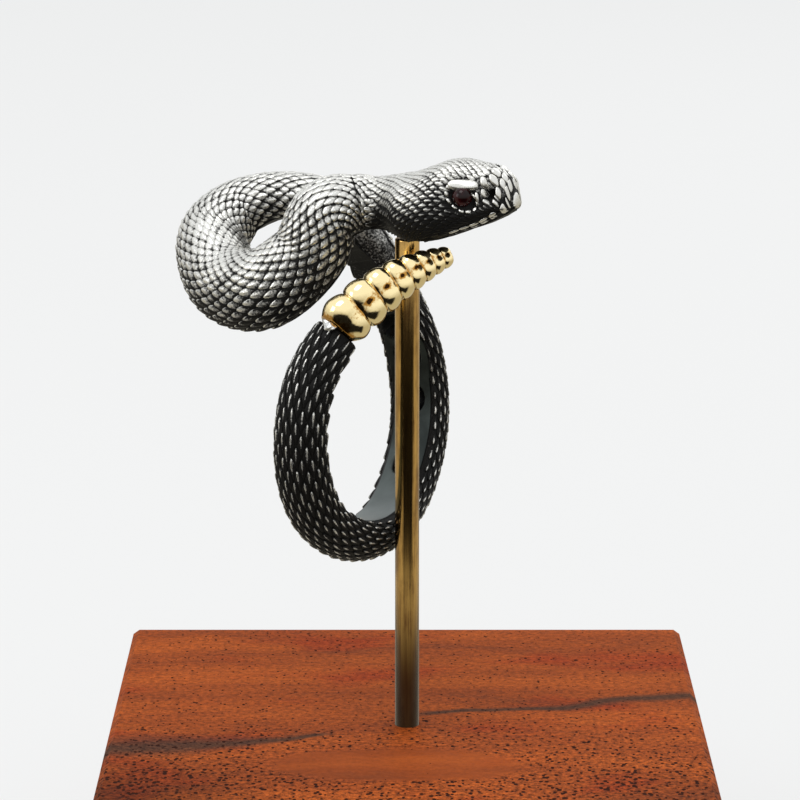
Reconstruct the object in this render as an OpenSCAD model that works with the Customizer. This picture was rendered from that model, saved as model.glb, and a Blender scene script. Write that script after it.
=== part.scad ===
// Rattlesnake wrap ring of oxidised silver with a gold rattle, carried by a brass rod on a wooden block.
// The ring is drawn about the finger's axis, then turned and lifted onto its rod.

/* [Finger hole] */
// Diameter of the hole that the finger goes through
finger_d = 18.5; // [15:0.1:21]

/* [Band and coil] */
// Width of the band along the finger, at its widest
band_w = 5.4; // [4:0.1:6.5]
// Thickness of the band, from the finger outwards
band_t = 3.3; // [2.4:0.1:4]
// Thickness of the body where the coil is fattest
coil_d = 6.6; // [5:0.1:7.5]
// Clear height of the coil's far arm above the finger
coil_rise = 7.4; // [5:0.1:10]
// Reach of the coil's turn to the side, from the middle of the band
coil_reach = 10.4; // [8.5:0.1:13]
// Reach of the tail's end to the other side, from the middle of the band
tail_reach = 5.2; // [4:0.1:7]
// Reach of the neck to that side, from the middle of the band
neck_reach = 6.6; // [5:0.1:9]

/* [Hollows in the finger wall] */
// Number of hollows, from the bottom of the far side up under the coil
hollow_count = 6; // [0:1:6]
// Diameter of each hollow
hollow_d = 2.6; // [1.6:0.1:3]
// Depth of each hollow
hollow_deep = 0.9; // [0.4:0.1:1.2]

/* [Scales] */
// Scales round the body, from one edge of the flat belly to the other
scales_round = 18; // [12:1:20]
// Length of a body scale, as a share of the body's width there
scale_long = 0.3; // [0.28:0.01:0.6]
// Height of the body scales
scale_h = 0.16; // [0.05:0.01:0.3]

/* [Head] */
// Length of the head, from the neck to the snout
head_l = 12.8; // [10:0.1:15]
// Width of the head across the jaws
head_w = 8.4; // [7:0.1:10]
// Height of the head at the brows
head_h = 6.2; // [5:0.1:7.5]
// Height of the brow plates over the head
brow_h = 0.5; // [0.2:0.05:0.8]
// Depth of the mouth line
mouth_cut = 0.25; // [0.1:0.05:0.4]
// Diameter of each eye stone
eye_d = 1.6; // [1.2:0.05:2]
// Gap round each eye stone in its socket
eye_gap = 0.04; // [0.02:0.01:0.1]

/* [Rattle] */
// Number of segments in the rattle
rattle_count = 8; // [4:1:9]
// Length of the rattle
rattle_l = 11.8; // [8:0.1:14]
// Height of the rattle's first segment, from the finger outwards
rattle_h = 4.3; // [3.2:0.1:4.8]
// Thickness of the rattle's first segment, from side to side
rattle_t = 3.9; // [3:0.1:4.5]
// Height of the rattle's foot over the finger hole, which keeps its segments out of the hole
rattle_lift = 0.8; // [0.7:0.05:1.2]
// How far the rattle's foot stands off the middle of the tail's end, to the tail's side
rattle_side = 0.9; // [0:0.05:1.2]
// Gap between the tail's end and the rattle
rattle_gap = 0.08; // [0.02:0.01:0.2]

/* [Stand] */
// Side of the square wooden block
block_w = 50; // [40:1:70]
// Height of the wooden block
block_h = 20; // [16:1:30]
// Bevel along the block's edges
block_bevel = 0.6; // [0.2:0.1:2]
// Diameter of the brass rod
rod_d = 2; // [1.5:0.1:2.4]
// Depth of the rod's hole in the block
rod_sunk = 12; // [6:1:15]
// Gap round the rod in its hole
rod_fit = 0.05; // [0.02:0.01:0.2]

/* [Place on the stand] */
// Height of the finger's axis above the block, at the middle of the band
ring_up = 26.5; // [22:0.5:40]
// Turn of the finger's axis from the block's side, in degrees
ring_turn = 35.5; // [20:0.5:50]
// Tilt of the finger's axis, in degrees
ring_tilt = 10.7; // [5:0.1:16]
// Gap between the rod and the ring where they rest on each other
rest_gap = 0.08; // [0.03:0.01:0.2]

/* [Hidden] */

finger_r = finger_d / 2;
// How far the belly reaches into the finger hole before the hole is cut
cut_in = 0.2;

// Columns of the route table, and of the sections made from it, which hold a radius in place of the lift
AROUND = 0;
LIFT = 1;
RADIUS = 1;
SIDE = 2;
WIDE = 3;
THICK = 4;
BELLY = 5;

// The route of the coil begins at this row, where the body leaves the finger
COIL_FROM = 8;

// The body's route, a row for each section from the tail to the neck.
// around: degrees about the finger's axis, 180 on the near side, 270 at the bottom and 360 on the far side
// lift: clear height over the finger, as a share of coil_rise
// side: place along the finger, as a share of tail_reach on the finger, and in the coil of coil_reach
// where it is negative and of neck_reach where it is positive
// wide: width, as a share of band_w
// thick: thickness, as a share of band_t on the finger and of coil_d in the coil
// belly: depth of the flat belly under the widest place, as a share of the thickness
ROUTE = [
    // around, lift, side, wide, thick, belly
    [134.5, 0.00, 1.06, 0.76, 0.96, 0.36],
    [155, 0.00, 0.76, 0.80, 1.00, 0.36],
    [185, 0.00, 0.48, 0.84, 1.00, 0.36],
    [225, 0.00, 0.17, 0.89, 1.04, 0.36],
    [270, 0.00, 0.00, 0.96, 1.08, 0.36],
    [315, 0.00, -0.13, 1.02, 1.03, 0.36],
    [360, 0.00, -0.07, 1.02, 0.96, 0.36],
    [388, 0.00, 0.04, 0.98, 0.98, 0.36],
    [408, 0.22, -0.05, 0.94, 0.50, 0.38],
    [424, 0.52, -0.10, 0.94, 0.51, 0.40],
    [434, 0.88, -0.26, 0.94, 0.53, 0.42],
    [440, 0.96, -0.58, 0.98, 0.58, 0.44],
    [447, 0.76, -0.90, 1.06, 0.75, 0.45],
    [458, 0.40, -0.97, 1.12, 0.92, 0.45],
    [471, 0.06, -0.66, 1.22, 0.98, 0.45],
    [475, 0.05, -0.21, 1.21, 0.98, 0.45],
    [467, 0.30, 0.23, 1.03, 0.92, 0.45],
    [460, 0.68, 0.46, 1.16, 0.84, 0.45],
    [453, 0.77, 0.70, 0.92, 0.70, 0.45],
    [450.5, 0.77, 0.92, 0.80, 0.63, 0.45],
];

// The head's direction in the ring's own axes, as turns in degrees away from the viewer and upwards
HEAD_TURN = 6;
HEAD_NOD = -5;

// Columns of the head's table
ALONG = 0;
HALF = 1;
TOP = 2;
UNDER = 3;
DROP = 4;

// The head's sections from the neck to the snout.
// along: place, as a share of head_l
// half: half width, as a share of half head_w
// top and under: height over and depth under the axis, as shares of head_h
// drop: how far the section's middle lies under the axis, as a share of head_h
HEAD = [
    // along, half, top, under, drop
    [0.00, 0.51, 0.37, 0.34, 0.00],
    [0.09, 0.58, 0.38, 0.36, 0.00],
    [0.20, 0.80, 0.42, 0.42, 0.01],
    [0.32, 0.96, 0.46, 0.46, 0.02],
    [0.45, 1.00, 0.54, 0.46, 0.02],
    [0.57, 0.91, 0.60, 0.42, 0.01],
    [0.68, 0.77, 0.59, 0.35, 0.00],
    [0.80, 0.64, 0.54, 0.27, 0.00],
    [0.90, 0.52, 0.48, 0.18, 0.00],
    [0.97, 0.38, 0.37, 0.10, 0.00],
    [1.00, 0.18, 0.19, 0.04, 0.00],
];

// Depth of the head's flat underside, as a share of the depth under the axis
HEAD_BELLY = 0.88;

// Columns of the marks' table, after the place along the head
TURN = 1;
LONG = 2;
ROUND = 3;
HIGH = 4;

// The head's raised and sunk places, alike on both sides.
// along: place, as a share of head_l
// turn: degrees round the head from its top
// long: spread along, as a share of head_l
// round: spread round the head, in degrees
// high: height, as a share of brow_h, negative where it is sunk
MARKS = [
    // along, turn, long, round, high
    [0.62, 42, 0.085, 13, 1.00],
    [0.66, 72, 0.050, 12, -0.55],
    [0.28, 112, 0.100, 26, 0.60],
    [0.86, 36, 0.045, 16, 0.45],
    [0.80, 80, 0.026, 8, -0.90],
    [0.90, 62, 0.022, 9, -0.80],
];
// Place of the eyes, as a share of head_l and in degrees round the head from its top
EYE_ALONG = 0.73;
EYE_TURN = 73;
// How far each eye is sunk into the head, as a share of its diameter
EYE_SUNK = 0.22;
// The mouth line: degrees round the head at the snout and at its corner, where it begins along the head,
// how late it bends up to the snout, and its half width in degrees
MOUTH_FRONT = 98;
MOUTH_BACK = 144;
MOUTH_FROM = 0.42;
MOUTH_BEND = 3;
MOUTH_WIDTH = 5;
// Height of the head's scales behind the mouth line's beginning and before it, as shares of scale_h
SCALES_BEHIND = 0.8;
SCALES_BEFORE = 0.4;
// The neck turns into the head's own direction over this share of head_l
NECK_BEND = 0.3;

columns = 2 * scales_round;

function unit(v) = v / norm(v);
function mix(a, b, k) = a + (b - a) * k;
function clamp(x, low, high) = min(high, max(low, x));
function flatten(lists) = [for (list = lists) each list];
function hill(x, spread) = exp(-x * x / (2 * spread * spread));

// A smooth curve through a table's rows, at row number k, which may lie between rows
function through(rows, k) =
    let (
        last = len(rows) - 1,
        i = clamp(floor(k), 0, last - 1),
        f = k - i,
        a = rows[max(i - 1, 0)],
        b = rows[i],
        c = rows[i + 1],
        d = rows[min(i + 2, last)]
    )
    b + 0.5 * f * (c - a + f * (2 * a - 5 * b + 4 * c - d + f * (3 * (b - c) + d - a)));

// What a row's side share is a share of
function side_size(i) = i < COIL_FROM
    ? tail_reach
    : ROUTE[i][SIDE] < 0 ? coil_reach : neck_reach;

// The route's rows in real sizes: around, radius of the belly, side, width, thickness, belly depth
SECTIONS = [for (i = [0:len(ROUTE) - 1])
    let (
        row = ROUTE[i],
        thick = row[THICK] * (i < COIL_FROM ? band_t : coil_d)
    ) [
        row[AROUND],
        finger_r + row[LIFT] * coil_rise - (row[LIFT] == 0 ? cut_in : 0),
        row[SIDE] * side_size(i),
        row[WIDE] * band_w,
        thick,
        row[BELLY] * thick,
    ]];

// The ring's own axes are: away from the viewer, up, and along the finger.
// The middle of a section lies at its widest place.
function middle_of(s) = let (r = s[RADIUS] + s[BELLY]) [r * cos(s[AROUND]), r * sin(s[AROUND]), s[SIDE]];
function body_at(k) = through(SECTIONS, k);

// Axes of a section: forward, up out of the back, and to the side
function frame_of(forward, out) =
    let (up = unit(out - (out * forward) * forward))
    [forward, up, cross(forward, up)];
function frame_at(k) =
    let (
        step = 0.02,
        s = body_at(k),
        forward = unit(middle_of(body_at(k + step)) - middle_of(body_at(k - step))),
        out = [cos(s[AROUND]), sin(s[AROUND]), 0]
    )
    frame_of(forward, out);

// Fine steps along the route, with the scales passed up to each, so that the scales follow the body's width
FINE = 10;
fine_last = FINE * (len(ROUTE) - 1);
fine_middles = [for (i = [0:fine_last]) middle_of(body_at(i / FINE))];
function scales_in(i) = norm(fine_middles[i + 1] - fine_middles[i]) / (scale_long * body_at(i / FINE)[WIDE]);
scales_passed = [for (i = 0, n = 0; i <= fine_last; n = n + (i < fine_last ? scales_in(i) : 0), i = i + 1) n];
scale_rows = floor(scales_passed[fine_last]);
body_rows = 2 * scale_rows;
place_by_row = [for (i = [0:fine_last]) [scales_passed[i] * body_rows / scales_passed[fine_last], i / FINE]];

// Points of one ring round a body: half width, height over and depth under the axis, depth of the flat belly
function outline(half, top, under, belly, swell) =
    let (edge = acos(-clamp(belly / under, 0, 0.98)))
    [for (j = [0:columns])
        let (
            turn = edge * (2 * j / columns - 1),
            high = cos(turn) > 0 ? top : under,
            out = unit([sin(turn) / half, cos(turn) / high])
        )
        [half * sin(turn), high * cos(turn)] + swell[j] * out];

// Each scale rises to one point, and the rows are staggered
function scale_tip(row, j) = (row + j) % 2 == 1 && j > 0 && j < columns ? scale_h : 0;

// A ring's points, put at a middle in a frame
function ring_at(middle, frame, points) = [for (p = points) middle + p[0] * frame[2] + p[1] * frame[1]];

function body_ring(row) =
    let (
        k = lookup(row, place_by_row),
        s = body_at(k),
        swell = [for (j = [0:columns]) scale_tip(row, j)]
    )
    ring_at(middle_of(s), frame_at(k),
        outline(s[WIDE] / 2, s[THICK] - s[BELLY], s[THICK] / 2, s[BELLY], swell));

// The head sits on the last section of the body
neck = SECTIONS[len(SECTIONS) - 1];
neck_middle = middle_of(neck);
head_forward = [sin(HEAD_TURN) * cos(HEAD_NOD), sin(HEAD_NOD), cos(HEAD_TURN) * cos(HEAD_NOD)];
head_frame = frame_of(head_forward, [0, 1, 0]);
neck_frame = frame_at(len(ROUTE) - 1);
function head_frame_at(along) =
    let (k = clamp(along / NECK_BEND, 0, 1))
    frame_of(unit(mix(neck_frame[0], head_forward, k)), mix(neck_frame[1], head_frame[1], k));
HEAD_ROWS = 26;

function head_swell(row, along) = [for (j = [0:columns])
    let (
        turn = abs(acos(-HEAD_BELLY) * (2 * j / columns - 1)),
        jaw = clamp((along - MOUTH_FROM) / (1 - MOUTH_FROM), 0, 1),
        mouth = mix(MOUTH_BACK, MOUTH_FRONT, pow(jaw, MOUTH_BEND)),
        marks = [for (m = MARKS) m[HIGH] * hill(along - m[ALONG], m[LONG]) * hill(turn - m[TURN], m[ROUND])],
        total = brow_h * marks * [for (m = MARKS) 1],
        groove = jaw > 0 ? mouth_cut * hill(turn - mouth, MOUTH_WIDTH) : 0
    )
    total - groove + (jaw > 0 ? SCALES_BEFORE : SCALES_BEHIND) * scale_tip(row, j)];

head_places = [for (i = [0:len(HEAD) - 1]) [HEAD[i][ALONG], i]];
function head_at(along) = through(HEAD, lookup(along, head_places));
function head_middle(along) = neck_middle + along * head_l * head_forward;
function head_ring(row) =
    let (
        along = row / HEAD_ROWS,
        s = head_at(along),
        half = s[HALF] * head_w / 2,
        top = s[TOP] * head_h,
        under = s[UNDER] * head_h
    )
    ring_at(head_middle(along) - s[DROP] * head_h * head_frame[1], head_frame_at(along),
        outline(half, top, under, HEAD_BELLY * under, head_swell(row, along)));

skin_rings = concat(
    [for (row = [0:body_rows - 1]) body_ring(row)],
    [for (row = [0:HEAD_ROWS]) head_ring(row)]);

// Where the finger's axis lies, over the block and beside the rod
turned_axes = let (
        along = [cos(ring_turn) * cos(ring_tilt), -sin(ring_turn) * cos(ring_tilt), sin(ring_tilt)],
        away = [sin(ring_turn), cos(ring_turn), 0]
    )
    [away, cross(along, away), along];
function turned(p) = p * turned_axes;

// The ring is pushed sideways until its lower half rests against the rod
rod_r = rod_d / 2;
rest_r = rod_r + rest_gap;
push_way = [cos(ring_turn), -sin(ring_turn)];
cross_way = [sin(ring_turn), cos(ring_turn)];
function flat(p) = [p[0], p[1]];
// The rod stands under this place of the head
SEAT_ALONG = 0.16;
rod_across = flat(turned(head_middle(SEAT_ALONG))) * cross_way;
low_points = [for (ring = skin_rings) for (p = ring) if (p[1] < 0) flat(turned(p))];
rod_push = max([for (p = low_points)
    let (off = p * cross_way - rod_across)
    if (abs(off) < rest_r) p * push_way + sqrt(rest_r * rest_r - off * off)]);
ring_middle = concat(-rod_push * push_way - rod_across * cross_way, [block_h + ring_up]);
function placed(p) = ring_middle + turned(p);

// The rod ends just under the lowest point of the head's rings above it
head_over_rod = [for (row = [0:HEAD_ROWS])
    if (norm(flat(placed(head_middle(row / HEAD_ROWS)))) < rod_d)
        for (p = head_ring(row)) placed(p)[2]];
rod_top = min(head_over_rod) - rest_gap;

// Faces of a skin made of rings, each joined to the next, with a fan at both ends
function skin_faces(rings, count) = concat(
    [for (i = [0:rings - 2]) for (j = [0:count - 1])
        let (
            next = (j + 1) % count,
            a = i * count + j,
            b = i * count + next,
            c = (i + 1) * count + next,
            d = (i + 1) * count + j
        )
        each (i + j) % 2 == 0 ? [[a, c, b], [a, d, c]] : [[a, d, b], [b, d, c]]],
    [for (j = [0:count - 1]) [rings * count, j, (j + 1) % count]],
    [for (j = [0:count - 1])
        let (from = (rings - 1) * count)
        [rings * count + 1, from + (j + 1) % count, from + j]]);

function mean(points) = [for (i = [0:2]) ([for (p = points) p[i]] * [for (p = points) 1]) / len(points)];

module skin(rings) {
    count = len(rings[0]);
    points = concat(flatten(rings), [mean(rings[0]), mean(rings[len(rings) - 1])]);
    polyhedron(points, skin_faces(len(rings), count), convexity = 12);
}

function eye_middle(side) =
    let (
        s = head_at(EYE_ALONG),
        out = side * (sin(EYE_TURN) * s[HALF] * head_w / 2 - EYE_SUNK * eye_d),
        over = cos(EYE_TURN) * s[TOP] * head_h
    )
    placed(head_middle(EYE_ALONG) + out * head_frame[2] + over * head_frame[1]);

module finger_hole() {
    translate(ring_middle) rotate([0, 90 - ring_tilt, -ring_turn])
        cylinder(h = 4 * (coil_reach + coil_d), d = finger_d, center = true, $fn = 96);
}

// Hollows in the finger wall, each cut by a ball that lies partly inside the finger hole
HOLLOW_FROM = 5.1;
HOLLOW_STEP = 0.75;
module hollows() {
    ball_r = (hollow_d * hollow_d / 4 + hollow_deep * hollow_deep) / (2 * hollow_deep);
    for (i = [0:1:hollow_count - 1]) {
        s = body_at(HOLLOW_FROM + i * HOLLOW_STEP);
        r = max(s[RADIUS], finger_r) + hollow_deep - ball_r;
        translate(placed([r * cos(s[AROUND]), r * sin(s[AROUND]), s[SIDE]])) sphere(r = ball_r, $fn = 24);
    }
}

module snake() {
    color("dimgray") difference() {
        skin([for (ring = skin_rings) [for (p = ring) placed(p)]]);
        finger_hole();
        hollows();
        for (side = [-1, 1]) translate(eye_middle(side)) sphere(d = eye_d + 2 * eye_gap, $fn = 32);
    }
}

module eye(side) {
    color("darkred") translate(eye_middle(side)) sphere(d = eye_d, $fn = 32);
}

// The rattle's way over the finger in the ring's own axes, at its base and at its tip.
// The middle number is its rise for each millimetre that the coil leaves over half the rattle's height.
RATTLE_WAY = [0.66, 0.124, 0.60];
RATTLE_TIP_WAY = [0.66, 0.013, 0.30];
function rattle_way(way) = unit([way[0], way[1] * (coil_rise - rattle_h / 2), way[2]]);
// Size of the rattle's foot, where it meets the tail, as a share of the first segment
RATTLE_FOOT = 0.74;
tail = SECTIONS[0];
tail_frame = frame_at(0);
// The foot lies on the tail's end, raised and moved to its side
foot_up = finger_r + rattle_lift + RATTLE_FOOT * rattle_h / 2 - tail[RADIUS] - tail[BELLY];
rattle_from = middle_of(tail) + [-rattle_gap, foot_up, -rattle_side] * tail_frame;
rattle_bend = rattle_from + rattle_l / 2 * rattle_way(RATTLE_WAY);
rattle_tip = rattle_bend + rattle_l / 2 * rattle_way(RATTLE_TIP_WAY);
function rattle_middle(q) = mix(mix(rattle_from, rattle_bend, q), mix(rattle_bend, rattle_tip, q), q);
function rattle_frame(q, segments) =
    let (
        way = unit(mix(rattle_bend - rattle_from, rattle_tip - rattle_bend, q)),
        forward = unit(mix(-tail_frame[0], way, min(segments, 1))),
        p = rattle_middle(q)
    )
    frame_of(forward, [p[0], p[1], 0]);
// Length of a segment, as a share of the one before it
SHRINK = 0.87;
function rattle_place(segments) = (1 - pow(SHRINK, segments)) / (1 - pow(SHRINK, rattle_count));
RATTLE_SIDES = 18;
RINGS_A_SEGMENT = 6;
// How much smaller the rattle's tip is than its base, and how late along it the taper sets in
TIP_LOSS = 0.64;
TAPER_LATE = 1.9;
// Depth of the groove along each side of the rattle, as a share of its size, how narrow it is,
// and its turn about the rattle in degrees, up on the side that faces the viewer
GROOVE_DEEP = 0.22;
GROOVE_NARROW = 6;
GROOVE_TURN = 25;
// Size at the crease between two segments, how far they swell from it, and how far they lean to the tail
CREASE = 0.80;
SWELL = 0.22;
LEAN = 0.12;
function rattle_size(segments) =
    let (part = segments - floor(segments), side = sin(180 * part))
    segments < 0.5 ? mix(RATTLE_FOOT, CREASE + SWELL, sin(180 * segments))
        : CREASE + SWELL * sqrt(side) * (1 - LEAN * (part - 0.5));
function rattle_outline(size) =
    [for (j = [0:RATTLE_SIDES - 1])
        let (
            turn = 360 * j / RATTLE_SIDES,
            lobe = 1 - GROOVE_DEEP * pow(abs(sin(turn + GROOVE_TURN)), GROOVE_NARROW)
        )
        size * lobe * [rattle_t / 2 * sin(turn), rattle_h / 2 * cos(turn)]];
rattle_rings = [for (row = [0:rattle_count * RINGS_A_SEGMENT])
    let (
        segments = row / RINGS_A_SEGMENT,
        q = rattle_place(segments),
        size = (1 - TIP_LOSS * pow(q, TAPER_LATE)) * rattle_size(segments)
    )
    [for (p = ring_at(rattle_middle(q), rattle_frame(q, segments), rattle_outline(size))) placed(p)]];

module rattle() {
    color("goldenrod") skin(rattle_rings);
}

module stand_rod() {
    color("darkgoldenrod") translate([0, 0, block_h - rod_sunk])
        cylinder(h = rod_top - block_h + rod_sunk, d = rod_d, $fn = 48);
}

module stand_block() {
    inner_w = block_w - 2 * block_bevel;
    inner_h = block_h - 2 * block_bevel;
    color("saddlebrown") difference() {
        hull() {
            translate([-inner_w / 2, -inner_w / 2, 0]) cube([inner_w, inner_w, block_h]);
            translate([-block_w / 2, -block_w / 2, block_bevel]) cube([block_w, block_w, inner_h]);
        }
        translate([0, 0, block_h - rod_sunk - rod_fit])
            cylinder(h = 2 * rod_sunk, d = rod_d + 2 * rod_fit, $fn = 48);
    }
}

snake();
rattle();
eye(-1);  // eye_left
eye(1);  // eye_right
stand_rod();
stand_block();
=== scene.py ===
"""A rattlesnake wrap ring on its brass rod and wooden block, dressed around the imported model.

The snake's skin, scales and head plates are laid on one swept surface that runs from the tail to the snout.
Sizes are in millimetres until a mesh is made, and metres from there on.
"""
import logging
import math
from collections.abc import Sequence
from dataclasses import dataclass, field
from enum import Enum
from typing import Any

import bpy
import numpy as np
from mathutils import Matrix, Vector


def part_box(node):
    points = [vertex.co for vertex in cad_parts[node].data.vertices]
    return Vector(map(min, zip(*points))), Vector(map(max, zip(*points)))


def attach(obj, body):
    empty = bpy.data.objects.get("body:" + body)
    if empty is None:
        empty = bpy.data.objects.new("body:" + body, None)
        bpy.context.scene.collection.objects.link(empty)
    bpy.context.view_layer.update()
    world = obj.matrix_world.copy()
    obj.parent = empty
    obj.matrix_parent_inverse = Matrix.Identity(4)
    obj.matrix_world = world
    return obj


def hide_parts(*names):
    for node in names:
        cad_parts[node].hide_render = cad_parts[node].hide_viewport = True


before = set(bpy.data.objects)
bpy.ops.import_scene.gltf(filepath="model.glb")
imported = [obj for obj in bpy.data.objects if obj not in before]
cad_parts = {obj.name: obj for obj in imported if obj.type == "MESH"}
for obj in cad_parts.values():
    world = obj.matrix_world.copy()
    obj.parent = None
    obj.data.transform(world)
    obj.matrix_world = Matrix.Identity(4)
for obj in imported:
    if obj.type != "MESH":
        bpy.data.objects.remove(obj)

LOG = logging.getLogger("snake_ring")
MM = 0.001
BODY = "root"

Array = np.ndarray
Triple = tuple[float, float, float]
Span = tuple[float, float]


class Slot(Enum):
    """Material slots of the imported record."""

    SILVER = "oxidised_silver"
    GOLD = "gold"
    GARNET = "garnet"
    BRASS = "brass"
    ROSEWOOD = "rosewood"


# Shader expressions


class Value:
    """One output socket of a node. Arithmetic on it adds Math or Vector Math nodes."""

    def __init__(self, net: "Net", socket: bpy.types.NodeSocket) -> None:
        """Keeps the net and the socket."""
        self.net = net
        self.socket = socket

    @property
    def wide(self) -> bool:
        """True for a colour or a vector."""
        return self.socket.type in {"VECTOR", "RGBA"}

    def _pair(self, operation: str, first: Any, second: Any) -> "Value":
        """Adds the node for a two-sided operation, in the kind that both sides need.

        Args:
            operation: The operation's name.
            first: A number, a tuple or a Value.
            second: Another.

        Returns:
            The result.
        """
        wide = any(isinstance(v, tuple) or (isinstance(v, Value) and v.wide) for v in (first, second))
        if not wide:
            return self.net.node("ShaderNodeMath", {"operation": operation}, {0: first, 1: second})
        sides = {i: (v,) * 3 if isinstance(v, (int, float)) else v for i, v in enumerate((first, second))}
        return self.net.node("ShaderNodeVectorMath", {"operation": operation}, sides)

    def __add__(self, other: Any) -> "Value":
        """Sum."""
        return self._pair("ADD", self, other)

    __radd__ = __add__

    def __sub__(self, other: Any) -> "Value":
        """Difference."""
        return self._pair("SUBTRACT", self, other)

    def __rsub__(self, other: Any) -> "Value":
        """Difference, with this value on the right."""
        return self._pair("SUBTRACT", other, self)

    def __mul__(self, other: Any) -> "Value":
        """Product."""
        return self._pair("MULTIPLY", self, other)

    __rmul__ = __mul__

    def __truediv__(self, other: Any) -> "Value":
        """Quotient."""
        return self._pair("DIVIDE", self, other)

    def __pow__(self, other: Any) -> "Value":
        """Power."""
        return self._pair("POWER", self, other)

    def part(self, axis: int) -> "Value":
        """One number of a vector."""
        return self.net.node("ShaderNodeSeparateXYZ", {}, {0: self}, axis)

    def step(self, low: float, high: float) -> "Value":
        """Rises smoothly from 0 at low to 1 at high.

        Args:
            low: Where the rise begins.
            high: Where it ends.

        Returns:
            The smooth step.
        """
        sockets = {"Value": self, "From Min": low, "From Max": high}
        return self.net.node("ShaderNodeMapRange", {"interpolation_type": "SMOOTHSTEP"}, sockets)

    def blend(self, low: Any, high: Any) -> "Value":
        """Mixes two colours by this value.

        Args:
            low: The colour at 0.
            high: The colour at 1.

        Returns:
            The mixed colour.
        """
        low, high = (v + (1.0,) if isinstance(v, tuple) and len(v) == 3 else v for v in (low, high))
        return self.net.node("ShaderNodeMix", {"data_type": "RGBA"}, {0: self, 6: low, 7: high}, 2)


class Net:
    """The nodes of one material or world."""

    def __init__(self, tree: bpy.types.NodeTree) -> None:
        """Empties the tree."""
        self.tree = tree
        tree.nodes.clear()

    def node(self, kind: str, settings: dict[str, Any], sockets: dict[Any, Any], output: int = 0) -> Value:
        """Adds any node.

        Args:
            kind: The node's type name.
            settings: Its own settings, set first.
            sockets: A value or a link for each input socket, by name or number.
            output: Which output to return.

        Returns:
            The chosen output.
        """
        made = self.tree.nodes.new(kind)
        for name, value in settings.items():
            setattr(made, name, value)
        for name, value in sockets.items():
            socket = made.inputs[name]
            if isinstance(value, Value):
                self.tree.links.new(value.socket, socket)
            else:
                socket.default_value = value
        return Value(self, made.outputs[output] if made.outputs else made.inputs[0])

    def attribute(self, name: str) -> Value:
        """A number stored on the mesh."""
        return self.node("ShaderNodeAttribute", {"attribute_name": name}, {}, 2)

    def place(self) -> Value:
        """The point in the object's own space, in metres."""
        return self.node("ShaderNodeTexCoord", {}, {}, 3)

    def noise(self, where: Value, size: float, detail: float = 4.0, rough: float = 0.5) -> Value:
        """Cloudy noise from 0 to 1.

        Args:
            where: The place it is read at, in metres.
            size: The size of its blobs, in millimetres.
            detail: How many finer layers it has.
            rough: How strong those are.

        Returns:
            The noise.
        """
        sockets = {"Vector": where, "Scale": 1.0 / (size * MM), "Detail": detail, "Roughness": rough}
        return self.node("ShaderNodeTexNoise", {}, sockets)

    def bump(self, height: Value, depth: float) -> Value:
        """A normal from a height of 0 to 1, where 1 stands for depth in millimetres."""
        return self.node("ShaderNodeBump", {}, {"Strength": 1.0, "Distance": depth * MM, "Height": height})

    def surface(self, sockets: dict[str, Any]) -> None:
        """Ends a material in one Principled surface with these sockets."""
        shader = self.node("ShaderNodeBsdfPrincipled", {}, sockets)
        self.node("ShaderNodeOutputMaterial", {}, {"Surface": shader})


def new_material(name: str) -> tuple[bpy.types.Material, Net]:
    """Makes an empty node material.

    Args:
        name: The material's name.

    Returns:
        The material and its net.
    """
    material = bpy.data.materials.new(name)
    material.use_nodes = True
    return material, Net(material.node_tree)


@dataclass(frozen=True)
class Finish:
    """What all finishes share. Their sizes and reliefs are in millimetres; a span runs from and to."""

    name: str

    def sockets(self, net: Net, where: Value) -> dict[str, Any]:
        """Works out the surface. Each finish has its own way.

        Args:
            net: The material's net.
            where: The place in the object's own space.

        Returns:
            A value or a link for each of the surface's sockets.
        """
        raise NotImplementedError

    def make(self) -> bpy.types.Material:
        """Makes the material.

        Returns:
            The material.
        """
        material, net = new_material(self.name)
        net.surface(self.sockets(net, net.place()))
        return material


@dataclass(frozen=True)
class ScaleSilver(Finish):
    """Blackened cast silver, rubbed bright where the scales stand highest, and painted lighter or darker by
    the way each place faces the light.
    """

    name: str = "scale_silver"
    black: Triple = (0.006, 0.0055, 0.005)
    bright: Triple = (0.74, 0.725, 0.68)
    rubbed: Span = (0.25, 0.75)
    rough_black: float = 0.55
    rough_bright: float = 0.24
    rough_grain: float = 0.12
    metal_black: float = 0.35
    specular: float = 0.2
    spots: float = 1.1
    spot_size: float = 0.18
    clouds: float = 0.5
    cloud_size: float = 1.9
    relief: float = 0.03

    def sockets(self, net: Net, where: Value) -> dict[str, Any]:
        """Brightens the silver by the mesh's attribute: rubbed on the high points, with painted light and
        shade by the way each place faces.
        """
        grain = net.noise(where, self.spot_size, 4.0, 0.65)
        cloud = net.noise(where, self.cloud_size, 2.0)
        rub = net.attribute("wear_and_painted_light") + self.spots * (grain - 0.5) + self.clouds * (cloud - 0.5)
        rub = rub.step(*self.rubbed)
        rough = self.rough_black + rub * (self.rough_bright - self.rough_black)
        return {
            "Base Color": rub.blend(self.black, self.bright),
            "Metallic": self.metal_black + (1 - self.metal_black) * rub,
            "Roughness": rough + self.rough_grain * (grain - 0.5),
            "Specular IOR Level": self.specular,
            "Normal": net.bump(grain, self.relief),
        }


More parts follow.
